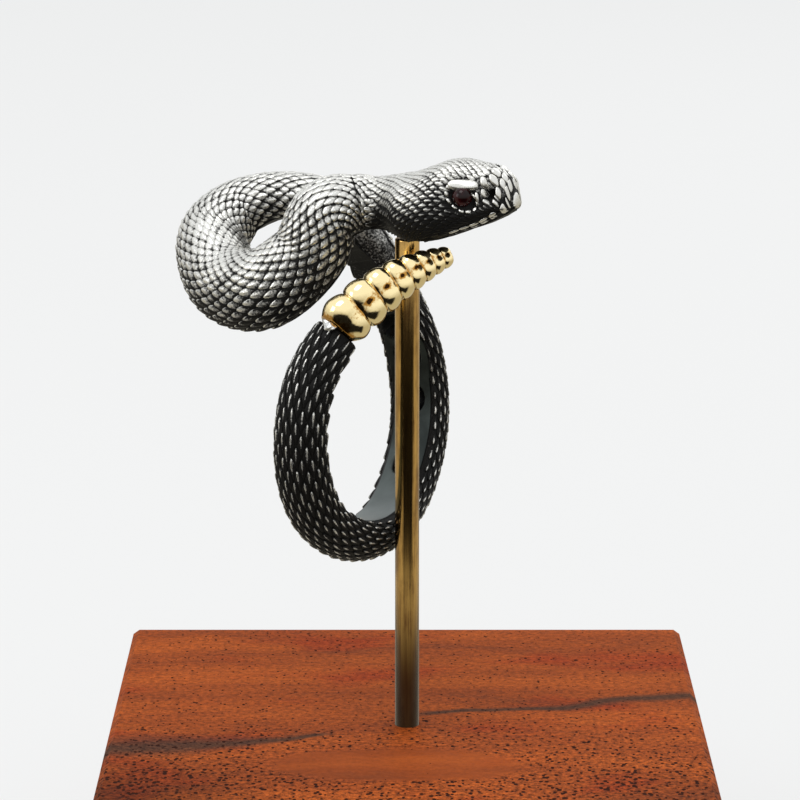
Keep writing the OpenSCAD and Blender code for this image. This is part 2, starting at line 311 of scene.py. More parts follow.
@dataclass(frozen=True)
class WallSilver(Finish):
    """The smooth wall that lies on the finger: grey silver with a dark film, darker down in its hollows."""

    name: str = "wall_silver"
    film: Triple = (0.009, 0.011, 0.0105)
    clean: Triple = (0.030, 0.036, 0.034)
    worn: Triple = (0.12, 0.138, 0.132)
    deep: Triple = (0.003, 0.003, 0.003)
    # Heights over which the worn tone fades out, and how far the clouds shift them
    worn_out: Span = (36.5, 43.0)
    fray: float = 5.0
    cleaned: Span = (0.30, 0.75)
    hollow: Span = (0.45, 0.98)
    metal: float = 0.9
    rough: float = 0.30
    rough_cloud: float = 0.16
    cloud_size: float = 2.6
    scuff_size: float = 0.16
    scuff_draw: Triple = (1.0, 1.0, 0.2)
    relief: float = 0.006

    def sockets(self, net: Net, where: Value) -> dict[str, Any]:
        """Darkens the hollows by the mesh's attribute, which is 1 on the wall and 0 at their bottom."""
        cloud = net.noise(where, self.cloud_size, 3.0)
        scuffs = net.noise(where * self.scuff_draw, self.scuff_size, 3.0)
        low = 1 - (where.part(2) / MM + self.fray * (cloud - 0.5)).step(*self.worn_out)
        tone = low.blend(cloud.step(*self.cleaned).blend(self.film, self.clean), self.worn)
        return {
            "Base Color": net.attribute("wear_and_painted_light").step(*self.hollow).blend(self.deep, tone),
            "Metallic": self.metal,
            "Roughness": self.rough + self.rough_cloud * cloud,
            "Normal": net.bump(scuffs, self.relief),
        }


@dataclass(frozen=True)
class RattleGold(Finish):
    """Polished yellow gold, with painted shade: browner in its grooves and nearly black in its notches."""

    name: str = "rattle_gold"
    gold: Triple = (1.0, 0.82, 0.45)
    # Painted shade in the grooves and the notches
    groove: Triple = (0.50, 0.25, 0.05)
    notch_shade: Triple = (0.030, 0.012, 0.004)
    groove_shaded: Span = (0.0, 0.35)
    notch_shaded: Span = (-0.35, -0.10)
    rough: float = 0.07
    rough_grain: float = 0.10
    grain_size: float = 0.30
    specks: float = 1.1
    speck_size: float = 0.26
    wave_size: float = 0.9
    relief: float = 0.04

    def sockets(self, net: Net, where: Value) -> dict[str, Any]:
        """Paints shade into the grooves by the mesh's attribute, which is under 0 in the notches, where the
        shade is nearly black.
        """
        grain = net.noise(where, self.grain_size, 3.0)
        wear_and_painted_light = net.attribute("wear_and_painted_light") + self.specks * (net.noise(where, self.speck_size, 4.0, 0.6) - 0.5)
        tone = wear_and_painted_light.step(*self.groove_shaded).blend(self.groove, self.gold)
        return {
            "Base Color": wear_and_painted_light.step(*self.notch_shaded).blend(self.notch_shade, tone),
            "Metallic": 1.0,
            "Roughness": self.rough + self.rough_grain * grain,
            "Normal": net.bump(net.noise(where, self.wave_size, 2.0), self.relief),
        }


@dataclass(frozen=True)
class SolderSilver(Finish):
    """Bright silver solder, left lumpy at the rattle's foot."""

    name: str = "solder_silver"
    colour: Triple = (0.82, 0.82, 0.80)
    dull: Triple = (0.35, 0.34, 0.32)
    cleared: Span = (0.2, 0.6)
    rough: float = 0.22
    rough_lump: float = 0.2
    lump_size: float = 0.45
    relief: float = 0.05

    def sockets(self, net: Net, where: Value) -> dict[str, Any]:
        """Dulls the solder between its lumps."""
        lumps = net.noise(where, self.lump_size, 3.0)
        return {
            "Base Color": lumps.step(*self.cleared).blend(self.dull, self.colour),
            "Metallic": 1.0,
            "Roughness": self.rough + self.rough_lump * lumps,
            "Normal": net.bump(lumps, self.relief),
        }


@dataclass(frozen=True)
class GarnetStone(Finish):
    """A polished stone so dark a red that it looks black away from the light."""

    name: str = "garnet_stone"
    dark: Triple = (0.006, 0.001, 0.0012)
    red: Triple = (0.024, 0.002, 0.0025)
    veiled: Span = (0.35, 0.7)
    rough: float = 0.06
    rough_veil: float = 0.05
    veil_size: float = 0.6
    specular: float = 0.18
    ior: float = 1.60

    def sockets(self, net: Net, where: Value) -> dict[str, Any]:
        """Draws faint veils through the stone."""
        veils = net.noise(where, self.veil_size, 2.0)
        return {
            "Base Color": veils.step(*self.veiled).blend(self.dark, self.red),
            "Roughness": self.rough + self.rough_veil * veils,
            "Specular IOR Level": self.specular,
            "IOR": self.ior,
        }


@dataclass(frozen=True)
class RodBrass(Finish):
    """Drawn brass with long draw lines and a brown film."""

    name: str = "rod_brass"
    brass: Triple = (0.74, 0.46, 0.15)
    brown: Triple = (0.24, 0.12, 0.040)
    foot_tone: Triple = (0.045, 0.012, 0.003)
    # Heights over which the dark red-brown above the block fades out, how far the film shifts them, and its
    # strength
    foot_dark: Span = (24.0, 33.0)
    fray: float = 6.0
    foot_dark_most: float = 0.95
    filmed: Span = (0.40, 0.66)
    film_share: float = 0.6
    rough: float = 0.12
    rough_film: float = 0.12
    line_size: float = 0.12
    line_draw: Triple = (1.0, 1.0, 0.02)
    film_size: float = 1.6
    film_draw: Triple = (1.0, 1.0, 0.35)
    relief: float = 0.008

    def sockets(self, net: Net, where: Value) -> dict[str, Any]:
        """Films the brass brown along its draw lines, and darkens it to a red-brown towards its foot."""
        lines = net.noise(where * self.line_draw, self.line_size, 3.0)
        film = net.noise(where * self.film_draw, self.film_size, 4.0, 0.65)
        foot_dark = 1 - (where.part(2) / MM + self.fray * (film - 0.5)).step(*self.foot_dark)
        tone = film * self.film_share + lines * (1 - self.film_share)
        tone = tone.step(*self.filmed).blend(self.brass, self.brown)
        return {
            "Base Color": (self.foot_dark_most * foot_dark).blend(tone, self.foot_tone),
            "Metallic": 1.0,
            "Roughness": self.rough + self.rough_film * film,
            "Normal": net.bump(lines, self.relief),
        }


@dataclass(frozen=True)
class Rosewood(Finish):
    """Oiled reddish wood, grained along the block: grey-brown streaks, dark pores and a fine fibre."""

    name: str = "rosewood"
    light: Triple = (0.33, 0.068, 0.010)
    middle: Triple = (0.235, 0.046, 0.008)
    dark: Triple = (0.052, 0.025, 0.014)
    red: Triple = (0.24, 0.024, 0.004)
    pore: Triple = (0.030, 0.008, 0.004)
    toned: Span = (0.34, 0.64)
    reddened: Span = (0.50, 0.70)
    red_most: float = 0.7
    veined: Span = (0.58, 0.76)
    vein_most: float = 0.45
    drift_size: float = 14.0
    drift_by: Triple = (0.0, 8.0, 4.0)
    # Places over which the grain closes to the back, the front's painted shade fades, and each side's painted
    # shade does
    back: Span = (-14.0, 8.0)
    front: Span = (-18.0, -4.0)
    left: Span = (-24.0, -6.0)
    right: Span = (6.0, 24.0)
    closed: float = 0.55
    left_painted_shade: float = 0.55
    right_painted_shade: float = 0.2
    # The dark streak: where its left half ends and its right half begins, each half's rise and height at the
    # middle, its half width there, and what that gains to the left and right
    left_end: float = -5.5
    right_end: float = 1.5
    left_line: Span = (0.10, -2.6)
    right_line: Span = (0.20, 1.3)
    streak_wide: Triple = (0.7, 3.6, 1.1)
    streak_most: float = 0.9
    # The smooth patch in front of the rod: its middle, half its size, and its frayed edge
    plain_x: float = -0.5
    plain_y: float = -9.5
    plain_long: float = 10.5
    plain_wide: float = 3.6
    plain_fray: float = 1.2
    plain_edge: Span = (0.7, 1.15)
    band_size: float = 4.2
    cloud_size: float = 7.0
    fibre_size: float = 0.42
    mottle_size: float = 0.40
    fibre_tone: float = 0.8
    mottle_tone: float = 5.6
    closed_tone: float = 0.20
    # Pores: their least radius, what it gains in open grain, by chance and by clouds, and their soft edge
    pore_size: float = 0.48
    pore_least: float = -0.02
    pore_open: float = 0.30
    pore_chance: float = 0.7
    chance_size: float = 0.6
    pore_cloud: float = 0.25
    pore_edge: Span = (-0.04, 0.07)
    rough: float = 0.58
    rough_fibre: float = 0.16
    rough_pore: float = 0.2
    specular: float = 0.05
    grain_relief: float = 0.3
    relief: float = 0.05

    def sockets(self, net: Net, where: Value) -> dict[str, Any]:
        """Lays bands, red clouds, streak, fibre, mottling and pores over each other."""
        drift = net.noise(where * (0.6, 1.0, 1.0), self.drift_size, 3.0)
        bent = where + (drift - 0.5) * tuple(v * MM for v in self.drift_by)
        x, y = where.part(0) / MM, bent.part(1) / MM
        bands = net.noise(bent * (0.14, 1.0, 1.0), self.band_size, 5.0, 0.62)
        cloud = net.noise(bent * (0.45, 1.0, 1.0), self.cloud_size, 3.0)
        fibre = net.noise(bent * (0.22, 1.0, 1.0), self.fibre_size, 4.0, 0.7)
        mottle = net.noise(where * (0.8, 1.0, 1.0), self.mottle_size, 4.0, 0.8)
        plain = self._plain(x, where.part(1) / MM, cloud)
        rough = (1 - plain) * (1.0 - self.closed * y.step(*self.back))
        tone = bands.step(*self.toned).blend(self.light, self.middle)
        tone = (cloud.step(*self.reddened) * self.red_most).blend(tone, self.red)
        # Painted shade: the front of the block is darkened, most towards the left
        front = 1 - y.step(*self.front)
        painted_shade = (front * (1 - x.step(*self.left))) * self.left_painted_shade
        painted_shade = painted_shade + (front * x.step(*self.right)) * self.right_painted_shade
        wood = self._streak(x, y, bands).blend(tone * (1 - painted_shade), self.dark)
        grain = self.fibre_tone * (fibre - 0.5) + self.mottle_tone * (mottle - 0.5)
        wood = wood * (1 + grain * (self.closed_tone + (1 - self.closed_tone) * rough))
        pore = self._pores(net, where, rough, cloud)
        return {
            "Base Color": pore.blend(wood, self.pore),
            "Roughness": self.rough + self.rough_fibre * fibre + self.rough_pore * pore,
            "Specular IOR Level": self.specular,
            "Normal": net.bump(fibre * self.grain_relief + mottle * self.grain_relief - pore, self.relief),
        }

    def _plain(self, x: Value, y: Value, cloud: Value) -> Value:
        """The smooth patch in front of the rod.

        Args:
            x: Place along the grain, in millimetres.
            y: Place across it.
            cloud: Clouds that fray its edge.

        Returns:
            The patch, from 0 to 1.
        """
        across, deep = (x - self.plain_x) / self.plain_long, (y - self.plain_y) / self.plain_wide
        return 1 - (across * across + deep * deep + self.plain_fray * (cloud - 0.5)).step(*self.plain_edge)

    def _streak(self, x: Value, y: Value, bands: Value) -> Value:
        """The grey-brown streak that crosses the block beside the rod, and the fainter veins.

        Args:
            x: Place along the grain, in millimetres.
            y: Place across it.
            bands: The broad bands of the grain.

        Returns:
            Where the wood is dark, from 0 to 1.
        """
        right = x.step(self.left_end, self.right_end)
        (rise, high), (right_rise, right_high) = self.left_line, self.right_line
        middle = (1 - right) * (rise * x + high) + right * (right_rise * x + right_high)
        least, more_left, more_right = self.streak_wide
        wide = least + more_left * (1 - x.step(self.left[0], self.left_end))
        wide = wide + more_right * x.step(*self.right)
        off = y - middle
        line = 1 - ((off * off) ** 0.5 / wide).step(0.1, 1.0)
        gap = 1 - x.step(self.left_end - 2, self.left_end) + x.step(self.right_end - 2, self.right_end + 1)
        veins = bands.step(*self.veined) * self.vein_most
        streak = line * gap * self.streak_most
        return streak + veins - streak * veins

    def _pores(self, net: Net, where: Value, rough: Value, cloud: Value) -> Value:
        """Small dark pores, dense at the front of the block and few at its back.

        Args:
            net: The material's net.
            where: The place.
            rough: How open the grain is, from 0 to 1.
            cloud: Clouds that crowd them.

        Returns:
            The pores, from 0 to 1.
        """
        scale = 1.0 / (self.pore_size * MM)
        sockets = {"Vector": where * (1.0, 0.75, 1.0), "Scale": scale, "Randomness": 1.0}
        far = net.node("ShaderNodeTexVoronoi", {"feature": "F1"}, sockets)
        chance = net.noise(where, self.chance_size, 1.0) - 0.5
        size = self.pore_least + self.pore_open * rough + self.pore_chance * chance
        size = size + self.pore_cloud * (cloud - 0.5)
        return 1 - (far - size).step(*self.pore_edge)


# Meshes


# The side from which the silver is painted lit, in the model's frame, and how squarely a place must face it
PAINTED_LIGHT_WAY = np.array((-0.12, -0.30, 0.90)) / math.hypot(0.12, 0.30, 0.90)
LIT_FROM, LIT_OVER = 0.35, 0.45

# Rows of the route over which the painted light and the flank's tone set in, and between which the flank is
# smooth
LIGHT_ROWS_FROM, LIGHT_ROWS_OVER = 7.0, 3.5
FLANK_FROM, FLANK_TO = 7.4, 10.4
FLANK_FACING = -0.1


def coil_share(row: Array) -> Array:
    """How far a row of the route takes the painted light and the flank's tone: not at all on the band, fully
    on the coil.
    """
    return np.clip((row - LIGHT_ROWS_FROM) / LIGHT_ROWS_OVER, 0, 1)


def smooth_flank(row: Array, outward: Array) -> Array:
    """Where the far side's rise has a smooth flank, towards the viewer, in place of scales."""
    return (row > FLANK_FROM) & (row < FLANK_TO) & (outward[..., 1] < FLANK_FACING)


def painted_light_share(outward: Array) -> Array:
    """Painted light: how far places that face these ways, in the model's frame, are painted bright down to
    their gaps.
    """
    return np.clip((outward @ PAINTED_LIGHT_WAY - LIT_FROM) / LIT_OVER, 0, 1)


def make_piece(
    name: str,
    points: Array,
    faces: Sequence[Sequence[int]],
    materials: Sequence[bpy.types.Material],
    wear_and_painted_light: Array | None = None,
    looks: Array | None = None,
) -> bpy.types.Object:
    """Makes one smooth mesh piece that rides on the model's body.

    Args:
        name: The piece's name.
        points: Its points, in millimetres.
        faces: Its faces, as point numbers.
        materials: Its materials.
        wear_and_painted_light: How far each point is rubbed bright, with painted light and shade on top, from
            0 to 1.
        looks: Which material each face takes.

    Returns:
        The new object.
    """
    mesh = bpy.data.meshes.new(name)
    mesh.from_pydata((np.asarray(points) * MM).tolist(), [], [list(f) for f in faces])
    for material in materials:
        mesh.materials.append(material)
    mesh.polygons.foreach_set("use_smooth", [True] * len(mesh.polygons))
    if looks is not None:
        mesh.polygons.foreach_set("material_index", np.asarray(looks, np.int32))
    if wear_and_painted_light is not None:
        stored = mesh.attributes.new("wear_and_painted_light", "FLOAT", "POINT")
        stored.data.foreach_set("value", np.asarray(wear_and_painted_light, np.float32))
    mesh.update()
    piece = bpy.data.objects.new(name, mesh)
    bpy.context.scene.collection.objects.link(piece)
    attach(piece, BODY)
    LOG.info("%s: %d points, %d faces", name, len(mesh.vertices), len(mesh.polygons))
    return piece


def unit(v: Array) -> Array:
    """Scales vectors to length 1."""
    return v / np.linalg.norm(v, axis=-1, keepdims=True)


def through(rows: Array, k: Array) -> Array:
    """A smooth curve through a table's rows.

    Args:
        rows: The table.
        k: Row numbers, which may lie between rows.

    Returns:
        The rows at those places.
    """
    last = len(rows) - 1
    i = np.clip(np.floor(k).astype(int), 0, last - 1)
    f = (k - i)[..., None]
    a, b, c, d = rows[np.maximum(i - 1, 0)], rows[i], rows[i + 1], rows[np.minimum(i + 2, last)]
    return b + 0.5 * f * (c - a + f * (2 * a - 5 * b + 4 * c - d + f * (3 * (b - c) + d - a)))


def frames_of(forward: Array, out: Array) -> Array:
    """Axes of sections: forward, up out of the back, and to the side.

    Args:
        forward: The body's direction.
        out: Roughly up out of the back.

    Returns:
        The three axes, stacked.
    """
    up = unit(out - (out * forward).sum(-1, keepdims=True) * forward)
    return np.stack([forward, up, np.cross(forward, up)], -2)


def in_frame(middles: Array, frames: Array, across: Array, above: Array) -> Array:
    """Points of sections in their frames.

    Args:
        middles: The sections' middles.
        frames: Their frames.
        across: How far each point lies to the side.
        above: How far it lies up.

    Returns:
        The points.
    """
    return middles + across[..., None] * frames[..., 2, :] + above[..., None] * frames[..., 1, :]


def sheet_faces(rows: int, count: int, start: int = 0) -> list[tuple[int, ...]]:
    """Quads between rings of points.

    Args:
        rows: How many rings there are.
        count: Points in a ring.
        start: The first point's number.

    Returns:
        The faces.
    """
    return [
        tuple(start + k for k in (i + j, i + (j + 1) % count, i + count + (j + 1) % count, i + count + j))
        for i in range(0, (rows - 1) * count, count)
        for j in range(count)
    ]


def tube_faces(rows: int, count: int, downward: bool = False) -> list[tuple[int, ...]]:
    """Faces of a closed tube, with one flat face at each end.

    Args:
        rows: How many rings of points it has.
        count: Points in a ring.
        downward: Whether the rings run the other way, so that the sides turn round.

    Returns:
        The faces.
    """
    sides = [f[::-1] if downward else f for f in sheet_faces(rows, count)]
    ends = [tuple(range(count))[::-1], tuple(range((rows - 1) * count, rows * count))]
    return sides + ([f[::-1] for f in ends] if downward else ends)


def ball_points(down: Array, turn: Array, size: Array | float = 1.0) -> Array:
    """Points of a ball of radius 1.

    Args:
        down: Angles from its top.
        turn: Angles round it.
        size: How far each point is moved out or in, as a factor.

    Returns:
        The points.
    """
    across = np.sin(down)
    x, y, z = across * np.cos(turn) * size, across * np.sin(turn) * size, np.cos(down) * size
    return np.stack(np.broadcast_arrays(x, y, z), -1)


@dataclass
class RingPlace:
    """Where the ring sits: its own axes point away from the viewer, up, and along the finger."""

    turn: float = 35.5
    tilt: float = 10.7
    middle: Array = field(default_factory=lambda: np.zeros(3))

    @property
    def axes(self) -> Array:
        """The ring's axes in the model's frame, a row each."""
        turn, tilt = math.radians(self.turn), math.radians(self.tilt)
        flat = math.cos(tilt)
        along = np.array([math.cos(turn) * flat, -math.sin(turn) * flat, math.sin(tilt)])
        away = np.array([math.sin(turn), math.cos(turn), 0.0])
        return np.stack([away, np.cross(along, away), along])

    def settle(self, point: Array, node: str) -> None:
        """Moves the ring so that one of its points lies at the middle of a node of the model."""
        low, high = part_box(node)
        self.middle = np.array((low + high) / 2) / MM - point @ self.axes

    def put(self, points: Array) -> Array:
        """Carries points from the ring's axes to the model's frame."""
        return self.middle + points @ self.axes


@dataclass
class Snake:
    """The snake's body and head as one swept surface.

    A place on it is a length along the snake from the tail, and a turn about its axis from the ridge of
    its back.
    """

    finger_r: float = 9.25
    band_w: float = 5.4
    band_t: float = 3.3
    coil_d: float = 6.6
    coil_rise: float = 7.4
    coil_reach: float = 10.4
    tail_reach: float = 5.2
    neck_reach: float = 6.6
    cut_in: float = 0.2
    coil_from: int = 8
    head_l: float = 12.8
    head_w: float = 8.4
    head_h: float = 6.2
    head_turn: float = 6.0
    head_nod: float = -5.0
    head_belly: float = 0.88
    neck_bend: float = 0.3
    brow_h: float = 0.5
    inset: float = 0.14
    eye_along: float = 0.73
    eye_turn: float = 73.0
    eye_sunk: float = 0.22
    eye_d: float = 1.6
    mouth_from: float = 0.42
    mouth_back: float = 144.0
    mouth_front: float = 94.0
    mouth_bend: float = 5.5
    body_steps: int = 1000
    head_steps: int = 200

    # around: degrees about the finger's axis; lift: over the finger, as a share of coil_rise
    # side: along the finger, as a share of a reach; wide and thick: shares of the band or the coil
    # belly: depth of the flat belly, as a share of the thickness
    ROUTE = (
        # around, lift, side, wide, thick, belly
        (134.5, 0.00, 1.06, 0.76, 0.96, 0.36),
        (155, 0.00, 0.76, 0.80, 1.00, 0.36),
        (185, 0.00, 0.48, 0.84, 1.00, 0.36),
        (225, 0.00, 0.17, 0.89, 1.04, 0.36),
        (270, 0.00, 0.00, 0.96, 1.08, 0.36),
        (315, 0.00, -0.13, 1.02, 1.03, 0.36),
        (360, 0.00, -0.07, 1.02, 0.96, 0.36),
        (388, 0.00, 0.04, 0.98, 0.98, 0.36),
        (408, 0.22, -0.05, 0.94, 0.50, 0.38),
        (424, 0.52, -0.10, 0.94, 0.51, 0.40),
        (434, 0.88, -0.26, 0.94, 0.53, 0.42),
        (440, 0.96, -0.58, 0.98, 0.58, 0.44),
        (447, 0.76, -0.90, 1.06, 0.75, 0.45),
        (458, 0.40, -0.97, 1.12, 0.92, 0.45),
        (471, 0.06, -0.66, 1.22, 0.98, 0.45),
        (475, 0.05, -0.21, 1.21, 0.98, 0.45),
        (467, 0.30, 0.23, 1.03, 0.92, 0.45),
        (460, 0.68, 0.46, 1.16, 0.84, 0.45),
        (453, 0.77, 0.70, 0.92, 0.70, 0.45),
        (450.5, 0.77, 0.92, 0.80, 0.63, 0.45),
    )
    # along: share of head_l; half: share of half head_w; top, under and drop: shares of head_h
    HEAD = (
        # along, half, top, under, drop
        (0.00, 0.51, 0.37, 0.34, 0.00),
        (0.09, 0.58, 0.38, 0.36, 0.00),
        (0.20, 0.80, 0.42, 0.42, 0.01),
        (0.32, 0.96, 0.46, 0.46, 0.02),
        (0.45, 1.00, 0.54, 0.46, 0.02),
        (0.57, 0.91, 0.60, 0.42, 0.01),
        (0.68, 0.77, 0.59, 0.35, 0.00),
        (0.80, 0.64, 0.54, 0.27, 0.00),
        (0.90, 0.52, 0.48, 0.18, 0.00),
        (0.97, 0.38, 0.37, 0.10, 0.00),
        (1.00, 0.18, 0.19, 0.04, 0.00),
    )
    # Row numbers go on over the head, as if it had this many
    HEAD_ROWS = 10
    # The belly stays flat under this share of the section's depth
    BELLY_DEEPEST = 0.98
    # Raised and sunk places of the head, alike on both sides; round in degrees, high as a share of brow_h
    MARKS = (
        # along, turn, long, round, high
        (0.62, 42, 0.085, 13, 0.70),
        (0.72, 74, 0.050, 12, -0.75),
        (0.28, 112, 0.100, 26, 0.60),
        (0.86, 36, 0.045, 16, 0.45),
        (0.80, 84, 0.020, 7, -0.90),
        (0.895, 65, 0.016, 8, -1.60),
    )

    def __post_init__(self) -> None:
        """Works out the sections along the whole snake."""
        route = np.array(self.ROUTE, float)
        on_band = np.arange(len(route)) < self.coil_from
        around, lift, side, wide, thick, belly = route.T
        reach = np.where(on_band, self.tail_reach, np.where(side < 0, self.coil_reach, self.neck_reach))
        thick = thick * np.where(on_band, self.band_t, self.coil_d)
        radius = self.finger_r + lift * self.coil_rise - self.cut_in * (lift == 0)
        self.rows = np.stack([around, radius, side * reach, wide * self.band_w, thick, belly * thick], 1)
        k = np.linspace(0, len(route) - 1, self.body_steps)
        body = through(self.rows, k)
        middles = self._middle(body)
        frames = self._frame(k)
        lengths = np.concatenate([[0.0], np.cumsum(np.linalg.norm(np.diff(middles, axis=0), axis=1))])
        self.body_l = lengths[-1]

        nod, turn = math.radians(self.head_nod), math.radians(self.head_turn)
        level = math.cos(nod)
        forward = np.array([math.sin(turn) * level, math.sin(nod), math.cos(turn) * level])
        self.head_frame = frames_of(forward, np.array([0.0, 1.0, 0.0]))
        self.head_from = middles[-1]
        along = np.linspace(0, 1, self.head_steps + 1)[1:]
        head = self._head(along)
        k_head = np.clip(along / self.neck_bend, 0, 1)[:, None]
        ways = unit(frames[-1][0] * (1 - k_head) + forward * k_head)
        ups = frames[-1][1] * (1 - k_head) + self.head_frame[1] * k_head
        head_middles = self.head_from + along[:, None] * self.head_l * forward
        head_middles = head_middles - head[:, 4:5] * self.head_h * self.head_frame[1]

        under = head[:, 3] * self.head_h
        self.along = np.concatenate([lengths, self.body_l + along * self.head_l])
        self.row_of = np.concatenate([k, len(route) - 1 + along * self.HEAD_ROWS])
        self.middles = np.concatenate([middles, head_middles])
        self.frames = np.concatenate([frames, frames_of(ways, ups)])
        self.half = np.concatenate([body[:, 3] / 2, head[:, 1] * self.head_w / 2])
        self.top = np.concatenate([body[:, 4] - body[:, 5], head[:, 2] * self.head_h])
        self.under = np.concatenate([body[:, 4] / 2, under])
        self.belly = np.concatenate([body[:, 5], self.head_belly * under])
        self.edge = np.arccos(-np.clip(self.belly / self.under, 0, self.BELLY_DEEPEST))
        self._round_lengths()

    def _middle(self, rows: Array) -> Array:
        """Middles of body sections, at their widest place."""
        r, a = rows[..., 1] + rows[..., 5], np.radians(rows[..., 0])
        return np.stack([r * np.cos(a), r * np.sin(a), rows[..., 2]], -1)

    def _frame(self, k: Array, step: float = 0.02) -> Array:
        """Frames of body sections.

        Args:
            k: Their row numbers.
            step: How far ahead and behind the body's direction is read.

        Returns:
            The frames.
        """
        ahead, behind = (self._middle(through(self.rows, k + way * step)) for way in (1, -1))
        around = np.radians(through(self.rows, k)[..., 0])
        out = np.stack([np.cos(around), np.sin(around), 0 * around], -1)
        return frames_of(unit(ahead - behind), out)

    def _head(self, along: Array) -> Array:
        """Rows of the head's table at shares of its length."""
        table = np.array(self.HEAD, float)
        return through(table, np.interp(along, table[:, 0], np.arange(len(table))))

    def _round_lengths(self, steps: int = 96) -> None:
        """Makes the tables that turn a distance round the body into an angle, and back.

        Args:
            steps: How many steps each takes from the ridge to the belly's edge.
        """
        self.shares = np.linspace(0, 1, steps + 1)
        turn = self.edge[:, None] * self.shares
        high = np.where(np.cos(turn) > 0, self.top[:, None], self.under[:, None])
        p = np.stack([self.half[:, None] * np.sin(turn), high * np.cos(turn)], -1)
        gone = np.cumsum(np.linalg.norm(np.diff(p, axis=1), axis=-1), 1)
        gone = np.concatenate([np.zeros((len(gone), 1)), gone], 1)
        self.reach = gone[:, -1]
        self.turns = np.stack([np.interp(self.shares * g[-1], g, t) for g, t in zip(gone, turn)])
        self.gone = np.stack([np.interp(self.shares * t[-1], t, g) for g, t in zip(gone, turn)])

    def at(self, table: Array, s: Array) -> Array:
        """Reads a per-section table.

        Args:
            table: The table.
            s: Lengths along the snake.

        Returns:
            Its values there.
        """
        i = np.clip(np.searchsorted(self.along, s) - 1, 0, len(self.along) - 2)
        f = (s - self.along[i]) / (self.along[i + 1] - self.along[i])
        f = f.reshape(f.shape + (1,) * (table.ndim - 1))
        return table[i] * (1 - f) + table[i + 1] * f

    def _round(self, table: Array, whole: Array, s: Array, off: Array) -> Array:
        """Reads one of the round tables.

        Args:
            table: The table, a row for each section.
            whole: The greatest distance or turn of each section.
            s: Lengths along the snake.
            off: Signed distances or turns from the ridge.

        Returns:
            Its values, with the sign of off.
        """
        share = np.clip(np.abs(off) / self.at(whole, s), 0, 1) * (len(self.shares) - 1)
        j = np.clip(np.floor(share).astype(int), 0, len(self.shares) - 2)
        rows = self.at(table, s)
        low, high = (np.take_along_axis(rows, j[..., None] + k, -1)[..., 0] for k in (0, 1))
        return np.sign(off) * (low + (high - low) * (share - j))

    def turn_at(self, s: Array, gone: Array) -> Array:
        """The turn at a distance round the body from the ridge."""
        return self._round(self.turns, self.reach, s, gone)

    def gone_at(self, s: Array, turn: Array) -> Array:
        """The distance round the body from the ridge, at a turn."""
        return self._round(self.gone, self.edge, s, turn)

    def swell(self, s: Array, turn: Array) -> Array:
        """How far the head stands over its plain sections.

        Args:
            s: Lengths along the snake.
            turn: Turns from the ridge, in radians.

        Returns:
            The heights, in millimetres.
        """
        along = (s - self.body_l) / self.head_l
        degrees = np.abs(np.degrees(turn))
        total = np.zeros_like(s)
        for place, round_at, long, width, high in self.MARKS:
            ahead = -((along - place) ** 2) / (2 * long**2)
            total += high * np.exp(ahead - (degrees - round_at) ** 2 / (2 * width**2))
        return np.where(along > 0, total * self.brow_h, 0.0)

    def mouth_turn(self, along: Array) -> Array:
        """Degrees from the ridge to the mouth line, at shares of the head's length."""
        jaw = np.clip((along - self.mouth_from) / (1 - self.mouth_from), 0, 1)
        return self.mouth_back + (self.mouth_front - self.mouth_back) * jaw**self.mouth_bend

    def point(self, s: Array, turn: Array, high: Array | float = 0.0) -> Array:
        """Points over the surface, in the ring's axes.

        Args:
            s: Lengths along the snake.
            turn: Turns from the ridge, in radians.
            high: Heights over the surface, in millimetres.

        Returns:
            The points.
        """
        half = self.at(self.half, s)
        rise = np.where(np.cos(turn) > 0, self.at(self.top, s), self.at(self.under, s))
        out = unit(np.stack([np.sin(turn) / half, np.cos(turn) / rise], -1))
        lift = high + self.swell(s, turn) - self.inset
        across = half * np.sin(turn) + lift * out[..., 0]
        above = rise * np.cos(turn) + lift * out[..., 1]
        return in_frame(self.at(self.middles, s), self.at(self.frames, s), across, above)

    def stretch(self, s: Array, gone: Array) -> Array:
        """How much longer the surface is than the snake's axis, at places on it."""
        turn, step = self.turn_at(s, gone), 0.1
        return np.linalg.norm(self.point(s + step, turn) - self.point(s - step, turn), axis=-1) / (2 * step)

    def outward(self, s: Array, gone: Array) -> Array:
        """The surface's way out at places on it, in the ring's axes."""
        turn = self.turn_at(s, gone)
        return unit(self.point(s, turn, 1.0) - self.point(s, turn))

    def eye_middle(self, side: int) -> Array:
        """The middle of an eye stone.

        Args:
            side: 1 for the snake's right and -1 for its left.

        Returns:
            The middle, in the ring's axes.
        """
        row = self._head(np.array([self.eye_along]))[0]
        turn = math.radians(self.eye_turn)
        out = side * (math.sin(turn) * row[1] * self.head_w / 2 - self.eye_sunk * self.eye_d)
        over = math.cos(turn) * row[2] * self.head_h
        middle = self.head_from + self.eye_along * self.head_l * self.head_frame[0]
        return middle + out * self.head_frame[2] + over * self.head_frame[1]


